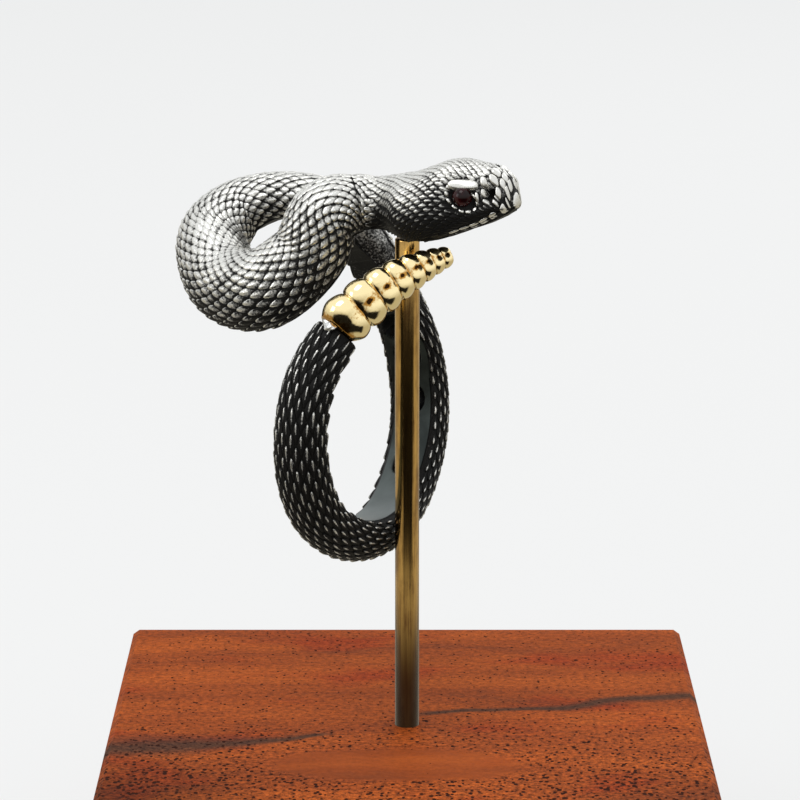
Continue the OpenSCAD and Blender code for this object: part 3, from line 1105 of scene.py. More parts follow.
@dataclass
class Shells:
    """Raised scales or plates, all of one outline, each a closed shell with its root in the skin.

    A shell's own axes run towards the tail and round the body. The arrays hold a number for each shell.
    """

    s: Array
    gone: Array
    long: Array
    wide: Array
    slant: Array
    low: Array
    tip: Array
    dome: Array
    keel: Array
    lean: Array
    rub: Array
    edge: Array
    glow: Array
    square: float = 1.7
    sides: int = 16
    root: float = -0.06
    keel_wide: float = 0.22
    keel_late: float = 0.35
    bare: float = 0.0
    rim_from: float = 0.90
    edge_wide: float = 0.07

    # Shares of the outline at which a shell has rings of points
    RINGS = (0.34, 0.62, 0.80, 0.90, 0.97, 1.0)

    @classmethod
    def of(cls, s: Array, gone: Array, **sizes: Any) -> "Shells":
        """Makes shells from places and sizes, where one number stands for all.

        Args:
            s: Lengths along the snake.
            gone: Distances round from the ridge.
            sizes: The other fields.

        Returns:
            The shells.
        """
        plain = dict.fromkeys(("slant", "keel", "lean", "rub", "edge", "glow"), 0.0)
        shape = {k: sizes.pop(k) for k in ("square", "sides", "keel_wide", "bare") if k in sizes}
        arrays = {k: np.broadcast_to(np.asarray(v, float), s.shape) for k, v in (plain | sizes).items()}
        return cls(s=s, gone=gone, **arrays, **shape)

    def covers(self, s: Array, gone: Array, margin: float) -> Array:
        """Tells which places lie under any of these shells.

        Args:
            s: Lengths along the snake.
            gone: Distances round from the ridge.
            margin: How far off a shell still counts, in millimetres.

        Returns:
            True for each place that does.
        """
        x = self.s[None, :] - s[:, None]
        y = gone[:, None] - self.gone[None, :]
        c, d = np.cos(self.slant), np.sin(self.slant)
        u = (x * c + y * d) / (self.long + margin)
        v = (y * c - x * d) / (self.wide + margin)
        return (np.abs(u) ** self.square + np.abs(v) ** self.square < 1).any(1)

    def build(self, snake: Snake) -> tuple[Array, list[tuple[int, ...]], Array]:
        """Lays the shells on the snake.

        Args:
            snake: The surface that they lie on.

        Returns:
            Points in the ring's axes, faces, and the wear and painted light of each point.
        """
        m, count = self.sides, 2 + self.sides * len(self.RINGS)
        phi = np.arange(m) * 2 * math.pi / m
        square = self.square
        rho = (np.abs(np.cos(phi)) ** square + np.abs(np.sin(phi)) ** square) ** (-1 / square)
        rings = np.array(self.RINGS)
        u = np.concatenate([[0], (rings[:, None] * rho * np.cos(phi)).ravel(), [0]])
        v = np.concatenate([[0], (rings[:, None] * rho * np.sin(phi)).ravel(), [0]])
        r = np.concatenate([[0], np.repeat(rings, m), [1]])
        rim = np.sqrt(np.clip(1 - r**10, 0, 1))
        x, y = u * self.long[:, None], v * self.wide[:, None]
        c, d = np.cos(self.slant)[:, None], np.sin(self.slant)[:, None]
        s = self.s[:, None] - (x * c - y * d)
        gone = self.gone[:, None] + x * d + y * c
        lift = self.low[:, None] + (self.tip - self.low)[:, None] * (0.5 + 0.5 * u) + self.lean[:, None] * v
        ridge = self.keel[:, None] * np.exp(-((v / self.keel_wide) ** 2))
        ridge = ridge * (1 - self.keel_late * (1 - u)) * (1 - u**8)
        high = (lift + self.dome[:, None] * (1 - r**2) + ridge) * rim + self.root * (r > 0.995)
        full = (self.tip + self.dome * 0.6 + self.keel * 0.9)[:, None]
        wear_and_painted_light = np.clip((high / full - self.bare) / (1 - self.bare), 0, 1)
        # The tip's rim is brightened, partly as rubbing and partly as a painted highlight; the outline's dark
        # patina fades in, lifted by the painted light where the shell faces it
        edge = np.exp(-(((r - self.rim_from) / self.edge_wide) ** 2)) * np.clip(1.4 * u, 0, 1)
        fade = np.clip((r - self.rim_from) / (1 - self.rim_from), 0, 1) * (1 - self.glow[:, None])
        wear_and_painted_light = np.clip(wear_and_painted_light + self.rub[:, None] + self.edge[:, None] * edge, 0, 1) * (1 - fade)
        points = snake.point(s, snake.turn_at(s, gone), high)
        top = [(0, 1 + j, 1 + (j + 1) % m) for j in range(m)]
        # Turned over, each from the same corner
        bands = [f[:1] + f[:0:-1] for f in sheet_faces(len(rings), m, 1)]
        last = count - 1 - m
        under = [(last + j, count - 1, last + (j + 1) % m) for j in range(m)]
        faces = [tuple(k + n * count for k in f) for n in range(len(self.s)) for f in top + bands + under]
        return points.reshape(-1, 3), faces, wear_and_painted_light.reshape(-1)


@dataclass
class Skin:
    """The skin under the scales, with the smooth wall on the finger and the hollows cut in it."""

    snake: Snake
    ring: RingPlace
    back_points: int = 54
    head_points: int = 170
    belly_points: int = 29
    hollow_count: int = 6
    hollow_d: float = 2.6
    hollow_deep: float = 0.9
    hollow_from: float = 5.1
    hollow_step: float = 0.75
    scute_l: float = 1.15
    scute_h: float = 0.07
    groove_deep: float = 0.22
    groove_wide: float = 0.09
    cap_rings: int = 5
    cap_bulge: float = 0.22
    snout_wear: float = 0.9
    gap_wear: float = 0.10
    # Painted light between the scales where the skin faces the light
    painted_skin_light: float = 0.20
    pit_black: float = 2.5
    flank_wear: float = 0.36
    cap_wear: float = 0.1
    black_deep: float = 0.35
    cut_room: float = 0.7
    sharp: float = 45.0

    def build(self, scales: bpy.types.Material, wall: bpy.types.Material) -> list[bpy.types.Object]:
        """Makes the body's skin and the head's.

        Args:
            scales: The finish under the scales.
            wall: The finish of the finger wall.

        Returns:
            The two pieces.
        """
        rows = np.arange(self.snake.body_steps)
        body = self._sheet(rows, self.back_points)
        sheet, on_wall, deep = self._cut_finger(body)
        # On the wall, darker down in the hollows; elsewhere the tone between the scales, with its painted
        # light
        worn = np.where(on_wall, 1 - np.clip(deep / self.black_deep, 0, 1), self._tone_and_light(rows, body))
        faces, points = self._closed(sheet, 0)
        looks = on_wall.reshape(-1)[np.array(sheet_faces(*worn.shape))].any(1)
        looks = np.concatenate([looks, np.zeros(len(faces) - len(looks))])
        wear_and_painted_light = np.full(len(points), self.cap_wear)
        wear_and_painted_light[: worn.size] = worn.reshape(-1)
        points = self.ring.put(points)
        skin = make_piece("body_skin", points, faces, [scales, wall], wear_and_painted_light, looks)
        skin.data.set_sharp_from_angle(angle=math.radians(self.sharp))

        rows = np.arange(rows[-1], len(self.snake.along))
        head = self._sheet(rows, self.head_points)
        faces, points = self._closed(head, -1)
        worn = self._tone_and_light(rows, head)
        wear_and_painted_light = np.full(len(points), self.snout_wear)
        wear_and_painted_light[: worn.size] = worn.reshape(-1)
        head_skin = make_piece("head_skin", self.ring.put(points), faces, [scales], wear_and_painted_light)
        return [skin, head_skin]

    def _sheet(self, rows: Array, back: int) -> Array:
        """Points of whole sections: round the back, then across the belly.

        Args:
            rows: Numbers of the sections.
            back: How many points go round the back.

        Returns:
            The points, a row for each section.
        """
        snake = self.snake
        s = snake.along[rows][:, None]
        gone = np.linspace(-1, 1, back) * snake.reach[rows][:, None]
        s_back = np.broadcast_to(s, gone.shape)
        turn = snake.turn_at(s_back, gone)
        along = (s_back - snake.body_l) / snake.head_l
        line = np.radians(snake.mouth_turn(along))
        off = np.abs(gone) - snake.gone_at(s_back, line)
        depth = self.groove_deep * np.clip((along - snake.mouth_from - 0.1) / 0.1, 0, 1)
        sunk = -depth * np.exp(-((off / self.groove_wide) ** 2))
        points = snake.point(s_back, turn, np.where(along > snake.mouth_from, sunk, 0.0))
        share = np.linspace(1, -1, self.belly_points + 2)[1:-1]
        x = share * (snake.half[rows] * np.sin(snake.edge[rows]))[:, None]
        scute = (np.mod(s / self.scute_l, 1.0) ** 3 - 0.5) * self.scute_h * (1 - share**4)
        y = -snake.belly[rows][:, None] + scute
        belly = in_frame(snake.middles[rows][:, None], snake.frames[rows][:, None], x, y)
        return np.concatenate([points, belly], 1)

    def _tone_and_light(self, rows: Array, points: Array) -> Array:
        """The skin's tone between the scales: painted light where the coil and head face the light, none in
        pits.

        Args:
            rows: Numbers of the sections.
            points: Their points.

        Returns:
            The tone of each point, with its painted light.
        """
        snake = self.snake
        outward = unit(points - snake.middles[rows][:, None]) @ self.ring.axes
        row = snake.row_of[rows][:, None]
        # Painted light: the skin between the scales is lighter where the coil and head face the light
        wear_and_painted_light = self.gap_wear + self.painted_skin_light * painted_light_share(outward) * coil_share(row)
        flank = self.flank_wear * smooth_flank(row, outward) * coil_share(row)
        share = np.linspace(-1, 1, points.shape[1] - self.belly_points)[None] * snake.reach[rows][:, None]
        s = np.broadcast_to(snake.along[rows][:, None], share.shape)
        pit = np.clip(-snake.swell(s, snake.turn_at(s, share)) / snake.brow_h, 0, 1)
        wear_and_painted_light[:, : share.shape[1]] += flank[:, : share.shape[1]] - self.pit_black * pit
        return wear_and_painted_light

    def _cut_finger(self, points: Array) -> tuple[Array, Array, Array]:
        """Pushes what lies inside the finger hole out to its wall, and the wall out into the hollows.

        Args:
            points: Rows of points in the ring's axes.

        Returns:
            The points, which of them lie on the wall, and how deep each lies in a hollow.
        """
        snake = self.snake
        radius = np.hypot(points[..., 0], points[..., 1])
        on_wall = radius < snake.finger_r + 0.002
        radial = np.stack([points[..., 0] / radius, points[..., 1] / radius, 0 * radius], -1)
        points = points + radial * np.where(on_wall, snake.finger_r - radius, 0)[..., None]
        ball = (self.hollow_d**2 / 4 + self.hollow_deep**2) / (2 * self.hollow_deep)
        deep = np.zeros_like(radius)
        for k in self.hollow_from + self.hollow_step * np.arange(self.hollow_count):
            row = through(snake.rows, np.array(k))
            out = max(row[1], snake.finger_r) + self.hollow_deep - ball
            around = math.radians(row[0])
            centre = np.array([out * math.cos(around), out * math.sin(around), row[2]])
            to_point = points - centre
            b = (to_point * radial).sum(-1)
            c = (to_point**2).sum(-1) - ball**2
            near = (c < 0) & (radius < snake.finger_r + self.cut_room)
            deep = np.maximum(deep, np.where(near, -b + np.sqrt(np.maximum(b * b - c, 0)), 0))
        return points + radial * deep[..., None], on_wall, deep

    def _closed(self, points: Array, end: int) -> tuple[list[tuple[int, ...]], Array]:
        """Faces of a sheet, with one end closed by a low dome.

        Args:
            points: Rows of points.
            end: The row that is closed, 0 or -1.

        Returns:
            All the faces and a flat array of points.
        """
        steps, count = points.shape[:2]
        flat, faces = points.reshape(-1, 3), sheet_faces(steps, count)
        edge = points[end]
        middle = edge.mean(0)
        out = unit(middle - points[1 if end == 0 else -2].mean(0)) * self.cap_bulge
        start = end % steps * count
        for tilt in np.linspace(0, math.pi / 2, self.cap_rings + 1)[1:-1]:
            new = len(flat)
            ring = middle + (edge - middle) * math.cos(tilt) + out * math.sin(tilt)
            flat = np.concatenate([flat, ring])
            turned = [(j, (j + 1) % count) for j in range(count)]
            ends = [(start + j, start + k, new + k, new + j) for j, k in turned]
            faces += [f[::-1] for f in ends] if end == 0 else ends
            start = new
        ends = [(start + j, start + (j + 1) % count, len(flat)) for j in range(count)]
        faces += [f[::-1] for f in ends] if end == 0 else ends
        return faces, np.concatenate([flat, (middle + out)[None]])


@dataclass
class Scales:
    """The scales in staggered rows along the body and over the back of the head."""

    snake: Snake
    ring: RingPlace
    seed: int = 11
    flank: float = 0.02
    first: float = 0.9
    edge_room: float = 0.42
    # How far the painted light lifts the dark gaps of scales that face the light
    painted_gap_share: float = 0.20
    # Under this spacing on the real surface only every third row is kept, with scales three times as long
    crowded: float = 0.25
    last_share: float = 0.97
    mouth_ease: float = 0.05
    mouth_room: float = 0.3
    plate_room: float = 0.05
    pit_share: float = 0.3
    wall_room: float = 0.01
    # How much single scales stray in length, width, slant, tip and brightness
    strays: tuple[float, ...] = (0.06, 0.05, 0.06, 0.12, 0.08)

    # rows of the route; half length in spacings along; the rest in spacings across
    ZONES = (
        # The painted sun column is painted light by how squarely a scale faces the light; the edge column
        # brightens each tip's rim, partly as rubbing and partly as a painted highlight
        # piece, first, last, long, half, tip, dome, keel, keel_wide, square, bare, rub and painted light,
        # painted sun, edge
        ("band_scales", 0, 7.5, 1.00, 0.42, 0.16, 0.03, 0.18, 0.24, 1.4, 0.45, 0.03, 0.05, 0.15),
        ("rise_scales", 7.5, 13, 1.10, 0.50, 0.28, 0.06, 0.08, 0.26, 1.6, 0.25, 0.02, 0.20, 0.30),
        ("coil_scales", 13, 19, 1.12, 0.50, 0.32, 0.09, 0.03, 0.30, 1.7, 0.20, -0.24, 0.42, 0.85),
        ("head_scales", 19, 99, 1.25, 0.50, 0.30, 0.05, 0.12, 0.24, 1.5, 0.20, -0.46, 0.72, 0.45),
    )

    SIZES = (
        # row, wide, pitch
        (0, 0.84, 0.90),
        (2, 0.84, 0.88),
        (4, 0.76, 0.72),
        (6, 0.78, 0.72),
        (8, 0.78, 0.68),
        (10, 0.74, 0.62),
        (12, 0.74, 0.62),
        (14, 0.76, 0.68),
        (16, 0.74, 0.60),
        (16.5, 0.72, 0.52),
        (17, 0.70, 0.38),
        (17.5, 0.66, 0.40),
        (18, 0.62, 0.44),
        (19, 0.60, 0.46),
        (21, 0.56, 0.42),
        (29, 0.50, 0.34),
    )

    def lattice(self, s_from: float, s_to: float) -> tuple[Array, Array, Array, Array, Array]:
        """Places of staggered scales between two lengths along the snake.

        Args:
            s_from: Where it begins.
            s_to: Where it ends.

        Returns:
            Places along and round, widths, spacings and the number of each scale's row.
        """
        table = np.array(self.SIZES, float)
        rows, s, number = [], s_from, 0
        while s < s_to:
            row = np.interp(s, self.snake.along, self.snake.row_of)
            wide, pitch = np.interp(row, table[:, 0], table[:, 1]), np.interp(row, table[:, 0], table[:, 2])
            reach = float(self.snake.at(self.snake.reach, np.array([s]))[0])
            odd = number % 2 == 1
            side = np.arange(0.5 if odd else 1.0, 40.0)
            side = np.concatenate([-side[::-1], side if odd else np.concatenate([[0.0], side])])
            gone = side * wide * (1 + self.flank * np.abs(side))
            gone = gone[np.abs(gone) + self.edge_room * wide < reach]
            same = [np.full(gone.shape, float(value)) for value in (s, wide, pitch, number)]
            rows.append(np.stack([same[0], gone, *same[1:]]))
            s += pitch
            number += 1
        return tuple(np.concatenate(rows, 1))

    def build(self, finish: bpy.types.Material, plates: Shells) -> list[bpy.types.Object]:
        """Makes the scale pieces.

        Args:
            finish: Their finish.
            plates: The head's plates, which the scales leave room for.

        Returns:
            The pieces.
        """
        snake = self.snake
        end = snake.body_l + self.last_share * snake.head_l
        s, gone, wide, pitch, number = self.lattice(self.first, end)
        rng = np.random.default_rng(self.seed)
        dice = rng.uniform(-1, 1, (4, len(s)))
        along = (s - snake.body_l) / snake.head_l
        line = snake.gone_at(s, np.radians(snake.mouth_turn(along)))
        mouth = (along > snake.mouth_from + self.mouth_ease) & (np.abs(np.abs(gone) - line) < self.mouth_room)
        sunk = snake.swell(s, snake.turn_at(s, gone)) < -self.pit_share * snake.brow_h
        stretch = snake.stretch(s, gone)
        tight = stretch * pitch < self.crowded
        pitch = np.where(tight, 3 * pitch, pitch)
        crowd = np.clip(stretch, 0.3, 1.0)
        outward = snake.outward(s, gone) @ self.ring.axes
        rows = np.interp(s, snake.along, snake.row_of)
        # Painted light: how squarely each scale faces the light, and how far its dark gap is lifted there
        facing_painted_light, glow = (way * coil_share(rows) for way in (outward @ PAINTED_LIGHT_WAY, painted_light_share(outward)))
        keep = ~plates.covers(s, gone, self.plate_room) & ~mouth & ~sunk
        keep &= (~tight | (number % 3 == 0)) & ~smooth_flank(rows, outward)
        stray_long, stray_wide, stray_slant, stray_tip, stray_rub = self.strays
        pieces = []
        for zone in self.ZONES:
            name, first, last, long, half, tip, dome, keel, keel_wide, square, bare, rub, painted_sun, edge = zone
            part = keep & (rows >= first) & (rows < last)
            across, size = wide[part], wide[part] * crowd[part]
            shells = Shells.of(
                s[part],
                gone[part],
                long=pitch[part] * long * (1 + stray_long * dice[0, part]),
                wide=across * half * (1 + stray_wide * dice[1, part]),
                slant=stray_slant * dice[2, part],
                tip=tip * size * (1 + stray_tip * dice[3, part]),
                low=0.01,
                dome=dome * size,
                keel=keel * size,
                rub=rub + painted_sun * facing_painted_light[part] + stray_rub * dice[0, part],
                edge=edge * (1 - glow[part]),
                glow=self.painted_gap_share * glow[part] * (first > 0),
                square=square,
                keel_wide=keel_wide,
                bare=bare,
            )
            points, faces, wear_and_painted_light = shells.build(snake)
            if name != "head_scales":
                radius = np.hypot(points[:, 0], points[:, 1])
                points[:, :2] *= np.maximum((snake.finger_r + self.wall_room) / radius, 1.0)[:, None]
            pieces.append(make_piece(name, self.ring.put(points), faces, [finish], wear_and_painted_light))
        return pieces


@dataclass
class HeadPlates:
    """The larger plates of the head, alike on both sides."""

    snake: Snake
    ring: RingPlace
    lips: int = 6
    eye_ring: float = 1.08
    eye_scales: int = 9
    # Degrees round the eye from the first of its scales to the last
    eye_from: float = -25.0
    eye_span: float = 230.0
    lip_step: float = 0.836
    lip_from: float = 0.45
    lip_half: float = 0.12
    # Painted light: how far the plates' dark gaps are lifted where they face the light, and how bright their
    # tip rims are, partly rubbing and partly a painted highlight
    painted_gap_share: float = 0.6
    edge_rub_and_highlight: float = 0.2

    # along: share of the head; turn and slant in degrees; sizes in mm
    SINGLE = (
        # along, turn, long, wide, slant, tip, low, lean, rub and painted light
        (0.742, 56.0, 1.28, 0.44, 22, 0.34, 0.26, 0.16, 0.25),
        (0.826, 73.0, 0.17, 0.46, 0, 0.20, 0.18, 0.00, -0.10),
        (0.864, 50.0, 0.30, 0.44, 20, 0.22, 0.18, 0.00, 0.20),
        (0.866, 66.0, 0.20, 0.34, 0, 0.20, 0.18, 0.00, 0.00),
        (0.946, 62.0, 0.20, 0.46, 0, 0.24, 0.20, 0.00, 0.20),
        (0.914, 41.0, 0.36, 0.38, 20, 0.24, 0.18, 0.00, 0.25),
        (0.960, 40.0, 0.20, 0.38, 10, 0.24, 0.18, 0.00, 0.25),
        (0.906, 21.0, 0.38, 0.38, 10, 0.20, 0.14, 0.00, 0.25),
        (0.956, 19.0, 0.24, 0.34, 10, 0.20, 0.14, 0.00, 0.25),
        (0.880, 79.0, 0.26, 0.20, 0, 0.16, 0.12, 0.00, -0.15),
        (0.930, 80.0, 0.26, 0.22, 0, 0.16, 0.12, 0.00, -0.05),
        (0.983, 22.0, 0.13, 0.34, 0, 0.14, 0.10, 0.00, 0.10),
        (0.983, 52.0, 0.13, 0.34, 0, 0.16, 0.12, 0.00, 0.10),
        (0.985, 80.0, 0.10, 0.22, 0, 0.12, 0.10, 0.00, -0.05),
    )

    def shells(self) -> Shells:
        """All the plates, right side then left.

        Returns:
            The plates.
        """
        snake = self.snake
        rows = []
        for along, turn, long, wide, slant, tip, low, lean, rub in self.SINGLE:
            s = snake.body_l + along * snake.head_l
            gone = self._gone(s, turn)
            rows.append((s, gone, long, wide, slant, tip, low, lean, 0.12, rub))
        eye_s = snake.body_l + snake.eye_along * snake.head_l
        eye_gone = self._gone(eye_s, snake.eye_turn)
        for k in range(self.eye_scales):
            angle = math.radians(self.eye_from + self.eye_span * k / (self.eye_scales - 1))
            s = eye_s + self.eye_ring * math.cos(angle)
            gone = eye_gone + self.eye_ring * math.sin(angle)
            rows.append((s, gone, 0.15, 0.22, 180 - math.degrees(angle), 0.16, 0.16, 0.0, 0.10, 0.05))
        # Off the mouth line, then how bright the first lip is and what each next one loses
        for off, first, loss in ((-self.lip_half - 0.05, 0.35, 0.09), (self.lip_half + 0.06, -0.15, 0.10)):
            for k in range(self.lips):
                s = snake.body_l + snake.head_l - self.lip_from - self.lip_step * k
                line, ahead = self._mouth(s), self._mouth(s + 0.3)
                slant = math.degrees(math.atan2(line - ahead, 0.3))
                rub = first - loss * k
                rows.append((s, line + off, 0.56, self.lip_half, slant, 0.13, 0.11, 0, 0.05, rub))
        right = np.array(rows, float)
        left = right.copy()
        left[:, [1, 4, 7]] *= -1
        s, gone, *columns = np.concatenate([right, left]).T
        sizes = dict(zip(("long", "wide", "slant", "tip", "low", "lean", "dome", "rub"), columns))
        sizes["slant"] = np.radians(sizes["slant"])
        # Painted light on the plates' gaps where they face the light
        sizes["glow"] = self.painted_gap_share * painted_light_share(snake.outward(s, gone) @ self.ring.axes)
        return Shells.of(s, gone, **sizes, edge=self.edge_rub_and_highlight, square=2.8, sides=20)

    def _mouth(self, s: float) -> float:
        """The distance round the head from its ridge to the mouth line."""
        along = np.array((s - self.snake.body_l) / self.snake.head_l)
        return self._gone(s, float(self.snake.mouth_turn(along)))

    def _gone(self, s: float, turn: float) -> float:
        """The distance round the head from its ridge to a turn in degrees."""
        return float(self.snake.gone_at(np.array([s]), np.radians(np.array([turn])))[0])

    def build(self, finish: bpy.types.Material) -> bpy.types.Object:
        """Makes the plates in one piece."""
        points, faces, wear_and_painted_light = self.shells().build(self.snake)
        return make_piece("head_plates", self.ring.put(points), faces, [finish], wear_and_painted_light)


@dataclass
class Eye:
    """A round garnet set in each side of the head."""

    d: float
    rings: int = 40
    sides: int = 72

    def build(self, node: str, finish: bpy.types.Material) -> bpy.types.Object:
        """Makes the stone where the model has it.

        Args:
            node: The model's node that it replaces.
            finish: Its finish.

        Returns:
            The stone.
        """
        low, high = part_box(node)
        middle = np.array((low + high) / 2) / MM
        tilt = np.pi * (np.arange(self.rings) + 0.5) / self.rings
        turn = 2 * np.pi * np.arange(self.sides) / self.sides
        points = middle + ball_points(tilt[:, None], turn[None]).reshape(-1, 3) * self.d / 2
        faces = tube_faces(self.rings, self.sides, downward=True)
        stone = make_piece(node.replace("eye", "stone"), points, faces, [finish])
        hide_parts(node)
        return stone


@dataclass
class Rattle:
    """The gold rattle, a row of shrinking two-lobed segments."""

    snake: Snake
    ring: RingPlace
    count: int = 8
    length: float = 11.8
    high: float = 4.3
    thick: float = 3.9
    lift: float = 0.8
    side: float = 0.9
    gap: float = 0.08
    foot: float = 0.74
    shrink: float = 0.87
    tip_loss: float = 0.64
    taper_late: float = 1.9
    groove: float = 0.22
    groove_turn: float = 25.0
    groove_narrow: int = 6
    # Spread of the painted shade in each segment's notch, round it in degrees and along it as a share
    notch_turn: float = 8.0
    notch_long: float = 0.17
    crease: float = 0.80
    bulge: float = 0.22
    lean: float = 0.12
    steps: int = 22
    sides: int = 120

    # The middle number is its rise for each millimetre that the coil leaves over half the rattle's height
    WAY = (0.66, 0.124, 0.60)
    TIP_WAY = (0.66, 0.013, 0.30)
    # How far the notches' painted shade goes under the rest
    NOTCH_SHADE_DEEP = 1.1

    def _way(self, way: Triple) -> Array:
        """The direction that a row of WAY stands for, in the ring's axes."""
        return unit(np.array([way[0], way[1] * (self.snake.coil_rise - self.high / 2), way[2]]))

    def build(self, gold: bpy.types.Material) -> bpy.types.Object:
        """Makes the rattle in place of the model's.

        Args:
            gold: Its finish.

        Returns:
            The rattle.
        """
        snake = self.snake
        tail = snake.rows[0]
        forward, up, side = snake.frames[0]
        foot_up = snake.finger_r + self.lift + self.foot * self.high / 2 - tail[1] - tail[5]
        way, tip_way = self._way(self.WAY), self._way(self.TIP_WAY)
        start = snake.middles[0] - self.gap * forward + foot_up * up - self.side * side
        bend = start + self.length / 2 * way
        tip = bend + self.length / 2 * tip_way
        k = np.linspace(0, self.count, self.count * self.steps + 1)[:, None]
        q = (1 - self.shrink**k) / (1 - self.shrink**self.count)
        middles = (start + (bend - start) * q) * (1 - q) + (bend + (tip - bend) * q) * q
        ways = unit((bend - start) * (1 - q) + (tip - bend) * q)
        ways = unit(-forward * (1 - np.minimum(k, 1)) + ways * np.minimum(k, 1))
        frames = frames_of(ways, np.concatenate([middles[:, :2], 0 * q], 1))
        part = np.mod(k, 1.0)
        round_off = np.sqrt(np.abs(np.sin(np.pi * part)))
        swell = self.crease + self.bulge * round_off * (1 - self.lean * (part - 0.5))
        first = self.foot + (self.crease + self.bulge - self.foot) * np.sin(np.pi * np.minimum(k, 0.5))
        swell = np.where(k < 0.5, first, swell)
        size = (1 - self.tip_loss * q**self.taper_late) * swell
        turn = 2 * np.pi * np.arange(self.sides) / self.sides
        from_groove = turn + math.radians(self.groove_turn)
        lobe = 1 - self.groove * np.abs(np.sin(from_groove)) ** self.groove_narrow
        across = size * lobe * self.thick / 2 * np.sin(turn)
        above = size * lobe * self.high / 2 * np.cos(turn)
        points = self.ring.put(in_frame(middles[:, None], frames[:, None], across, above).reshape(-1, 3))
        # Painted shade: darker in the grooves between the lobes, in the creases between the segments, and in
        # a notch on each segment
        wear_and_painted_light = 0.3 + 0.7 * (lobe - 1 + self.groove) / self.groove
        wear_and_painted_light = np.clip((swell - self.crease) / self.bulge, 0, 1) * wear_and_painted_light
        off = (np.mod(from_groove, np.pi) - np.pi / 2) / math.radians(self.notch_turn)
        notch_shade = np.exp(-(off**2) - ((part - 0.5) / self.notch_long) ** 2) * (k > 1)
        wear_and_painted_light = (wear_and_painted_light - self.NOTCH_SHADE_DEEP * notch_shade).reshape(-1)
        faces = tube_faces(len(q), self.sides)
        piece = make_piece("rattle_segments", points, faces, [gold], wear_and_painted_light)
        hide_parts("rattle")
        return piece


@dataclass
class Solder:
    """The lump of solder that shows where the rattle is joined to the tail."""

    snake: Snake
    ring: RingPlace
    turn: float = -16.0
    along: float = 0.05
    half: Triple = (0.78, 0.50, 0.80)
    set_on: Triple = (-0.30, 0.12, 0.0)
    rings: int = 32
    sides: int = 48

    # How its outline waves: turns up and down, turns round, share of its size
    WAVES = ((2, 3, 0.15), (5, 4, 0.10), (7, 9, 0.05))

    def build(self, finish: bpy.types.Material) -> bpy.types.Object:
        """Makes the lump on the rim of the tail's end.

        Args:
            finish: Its finish.

        Returns:
            The lump.
        """
        down = np.pi * np.arange(1, self.rings)[:, None] / self.rings
        turn = 2 * np.pi * np.arange(self.sides)[None] / self.sides
        size = 1 + sum(a * np.sin(m * down) * np.cos(n * turn + m) for m, n, a in self.WAVES)
        ball = ball_points(down, turn, size).reshape(-1, 3)
        ball = np.concatenate([ball, [[0, 0, 1], [0, 0, -1]]]) * self.half
        s, at = np.array([self.along]), np.radians(np.array([self.turn]))
        points = self.snake.point(s, at) + (ball + self.set_on) @ self.snake.frames[0]
        faces = [f[::-1] for f in sheet_faces(self.rings - 1, self.sides)]
        last = (self.rings - 2) * self.sides
        top, bottom = len(points) - 2, len(points) - 1
        faces += [(top, j, (j + 1) % self.sides) for j in range(self.sides)]
        faces += [(bottom, last + (j + 1) % self.sides, last + j) for j in range(self.sides)]
        return make_piece("solder_lump", self.ring.put(points), faces, [finish])


@dataclass
class Stand:
    """The brass rod and the wooden block."""

    rod_sides: int = 96
    rod_bevel: float = 0.15
    bevel_steps: int = 5

    def build_rod(self, finish: bpy.types.Material) -> bpy.types.Object:
        """Makes the rod in place of the model's, with its top edge broken.

        Args:
            finish: Its finish.

        Returns:
            The rod.
        """
        low, high = (np.array(v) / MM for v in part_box("stand_rod"))
        radius = (high[0] - low[0]) / 2
        x, y = (low + high)[:2] / 2
        bevel = np.linspace(0, math.pi / 2, self.bevel_steps)
        profile = [(radius, low[2])]
        profile += [
            (radius - self.rod_bevel * (1 - math.cos(t)), high[2] - self.rod_bevel * (1 - math.sin(t)))
            for t in bevel
        ]
        turn = 2 * np.pi * np.arange(self.rod_sides) / self.rod_sides
        points = np.array([[x + r * math.cos(t), y + r * math.sin(t), z] for r, z in profile for t in turn])
        faces = tube_faces(len(profile), self.rod_sides)
        piece = make_piece("rod", points, faces, [finish])
        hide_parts("stand_rod")
        return piece

    def dress_block(self, finish: bpy.types.Material) -> None:
        """Gives the model's block its wood, and keeps it out of the ring's reflections.

        Args:
            finish: The wood.
        """
        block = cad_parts["stand_block"]
        block.visible_glossy = False
        for part in block.material_slots:
            part.material = finish


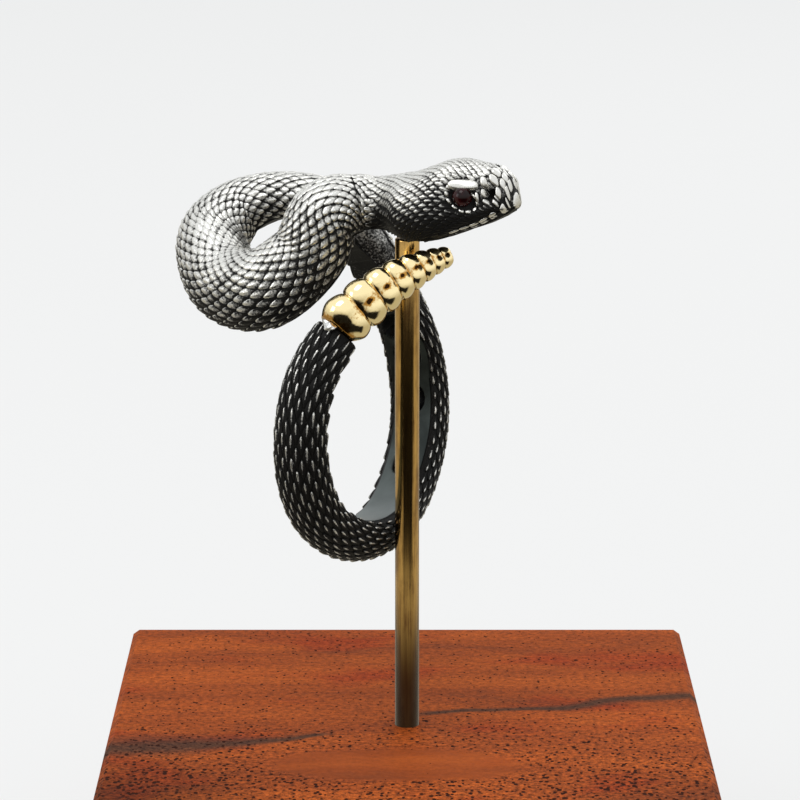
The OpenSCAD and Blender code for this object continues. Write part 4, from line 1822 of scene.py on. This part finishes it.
@dataclass
class Studio:
    """The floor, the soft lights and the camera at the photograph's view."""

    floor_r: float = 6.0
    floor_z: float = -0.00002
    floor_tone: Triple = (0.24, 0.24, 0.238)
    floor_glow: float = 0.66
    sensor: float = 36.0
    eye: Triple = (-0.589, -258.920, 116.575)
    pitch: float = 75.2
    lens: float = 147.0
    aim: Triple = (0.0, 0.0, 0.05)
    pale: Triple = (0.893, 0.893, 0.888)
    cool: Triple = (1.02, 1.05, 1.08)
    warm: Triple = (0.50, 0.47, 0.38)
    dark: Triple = (0.012, 0.011, 0.010)
    ahead: Triple = (0.12, -0.99, 0.0)

    BOXES = (
        # name, place in metres, side in metres, power in watts
        ("top_box", (-0.10, -0.12, 0.50), 0.22, 0.55),
        ("left_box", (-0.45, -0.20, 0.25), 0.26, 0.45),
        ("back_box", (0.25, 0.40, 0.35), 0.30, 0.35),
    )

    def build(self) -> None:
        """Makes the whole studio."""
        self._camera()
        self._floor()
        self._room()
        for name, place, size, power in self.BOXES:
            self._soft_box(name, place, size, power)

    def _camera(self) -> None:
        """Puts the camera at the photograph's view."""
        camera = bpy.data.objects.new("camera", bpy.data.cameras.new("camera"))
        bpy.context.scene.collection.objects.link(camera)
        camera.location = Vector(self.eye) * MM
        camera.rotation_euler = (math.radians(self.pitch), 0.0, 0.0)
        camera.data.lens = self.lens
        camera.data.sensor_width = self.sensor
        camera.data.clip_start = 0.01
        bpy.context.scene.camera = camera

    def _floor(self) -> None:
        """Makes the plain pale floor."""
        turn = 2 * np.pi * np.arange(64) / 64
        mesh = bpy.data.meshes.new("floor")
        points = [(self.floor_r * math.cos(t), self.floor_r * math.sin(t), self.floor_z) for t in turn]
        mesh.from_pydata(points, [], [list(range(64))])
        material, net = new_material("floor")
        net.surface(
            {
                "Base Color": (*self.floor_tone, 1.0),
                "Roughness": 0.9,
                "Specular IOR Level": 0.0,
                "Emission Color": (*self.pale, 1.0),
                "Emission Strength": self.floor_glow,
            }
        )
        mesh.materials.append(material)
        floor = bpy.data.objects.new("floor", mesh)
        bpy.context.scene.collection.objects.link(floor)
        floor.visible_glossy = False

    def _room(self) -> None:
        """Lights the room: cool from above, warm from below, and dark low down in front."""
        world = bpy.data.worlds.new("room")
        bpy.context.scene.world = world
        world.use_nodes = True
        net = Net(world.node_tree)
        way = net.node("ShaderNodeTexCoord", {}, {}, 0)
        up = way.part(2)
        facing = net.node("ShaderNodeVectorMath", {"operation": "DOT_PRODUCT"}, {0: way, 1: self.ahead}, 1)
        level = (1.0001 - up * up) ** 0.5
        dark = (facing / level).step(0.42, 0.66) * (1 - up.step(-0.24, -0.08)) * up.step(-0.92, -0.78)
        bright = up.step(-0.35, 0.45).blend(self.warm, self.cool)
        room = dark.blend(bright, self.dark)
        seen = net.node("ShaderNodeLightPath", {}, {}, 0)
        colour = seen.blend(room, self.pale)
        light = net.node("ShaderNodeBackground", {}, {"Color": colour, "Strength": 1.0})
        net.node("ShaderNodeOutputWorld", {}, {"Surface": light})

    def _soft_box(self, name: str, place: Triple, size: float, power: float) -> None:
        """Hangs one square soft light that points at the ring.

        Args:
            name: Its name.
            place: Where it hangs, in metres.
            size: Its side, in metres.
            power: Its power, in watts.
        """
        light = bpy.data.lights.new(name, "AREA")
        light.energy = power
        light.size = size
        lamp = bpy.data.objects.new(name, light)
        lamp.location = place
        lamp.rotation_euler = (Vector(self.aim) - Vector(place)).to_track_quat("-Z", "Y").to_euler()
        bpy.context.scene.collection.objects.link(lamp)


def main() -> None:
    """Dresses the ring and its stand in order."""
    logging.basicConfig(level=logging.INFO, format="%(name)s: %(message)s")
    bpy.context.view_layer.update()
    bpy.context.scene.view_settings.view_transform = "Standard"
    Studio().build()

    snake, ring = Snake(), RingPlace()
    ring.settle(snake.eye_middle(1), "eye_right")
    LOG.info("the ring's middle is at %s mm", np.round(ring.middle, 3))

    silver = ScaleSilver().make()
    plates = HeadPlates(snake, ring)
    pieces = Skin(snake, ring).build(silver, WallSilver().make())
    pieces += Scales(snake, ring).build(silver, plates.shells())
    pieces.append(plates.build(silver))
    for piece in pieces[:2]:
        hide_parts("snake")

    garnet = GarnetStone().make()
    for node in ("eye_right", "eye_left"):
        Eye(snake.eye_d).build(node, garnet)
    Rattle(snake, ring).build(RattleGold().make())
    Solder(snake, ring).build(SolderSilver().make())
    stand = Stand()
    stand.build_rod(RodBrass().make())
    stand.dress_block(Rosewood().make())


if __name__ == "__main__":
    main()
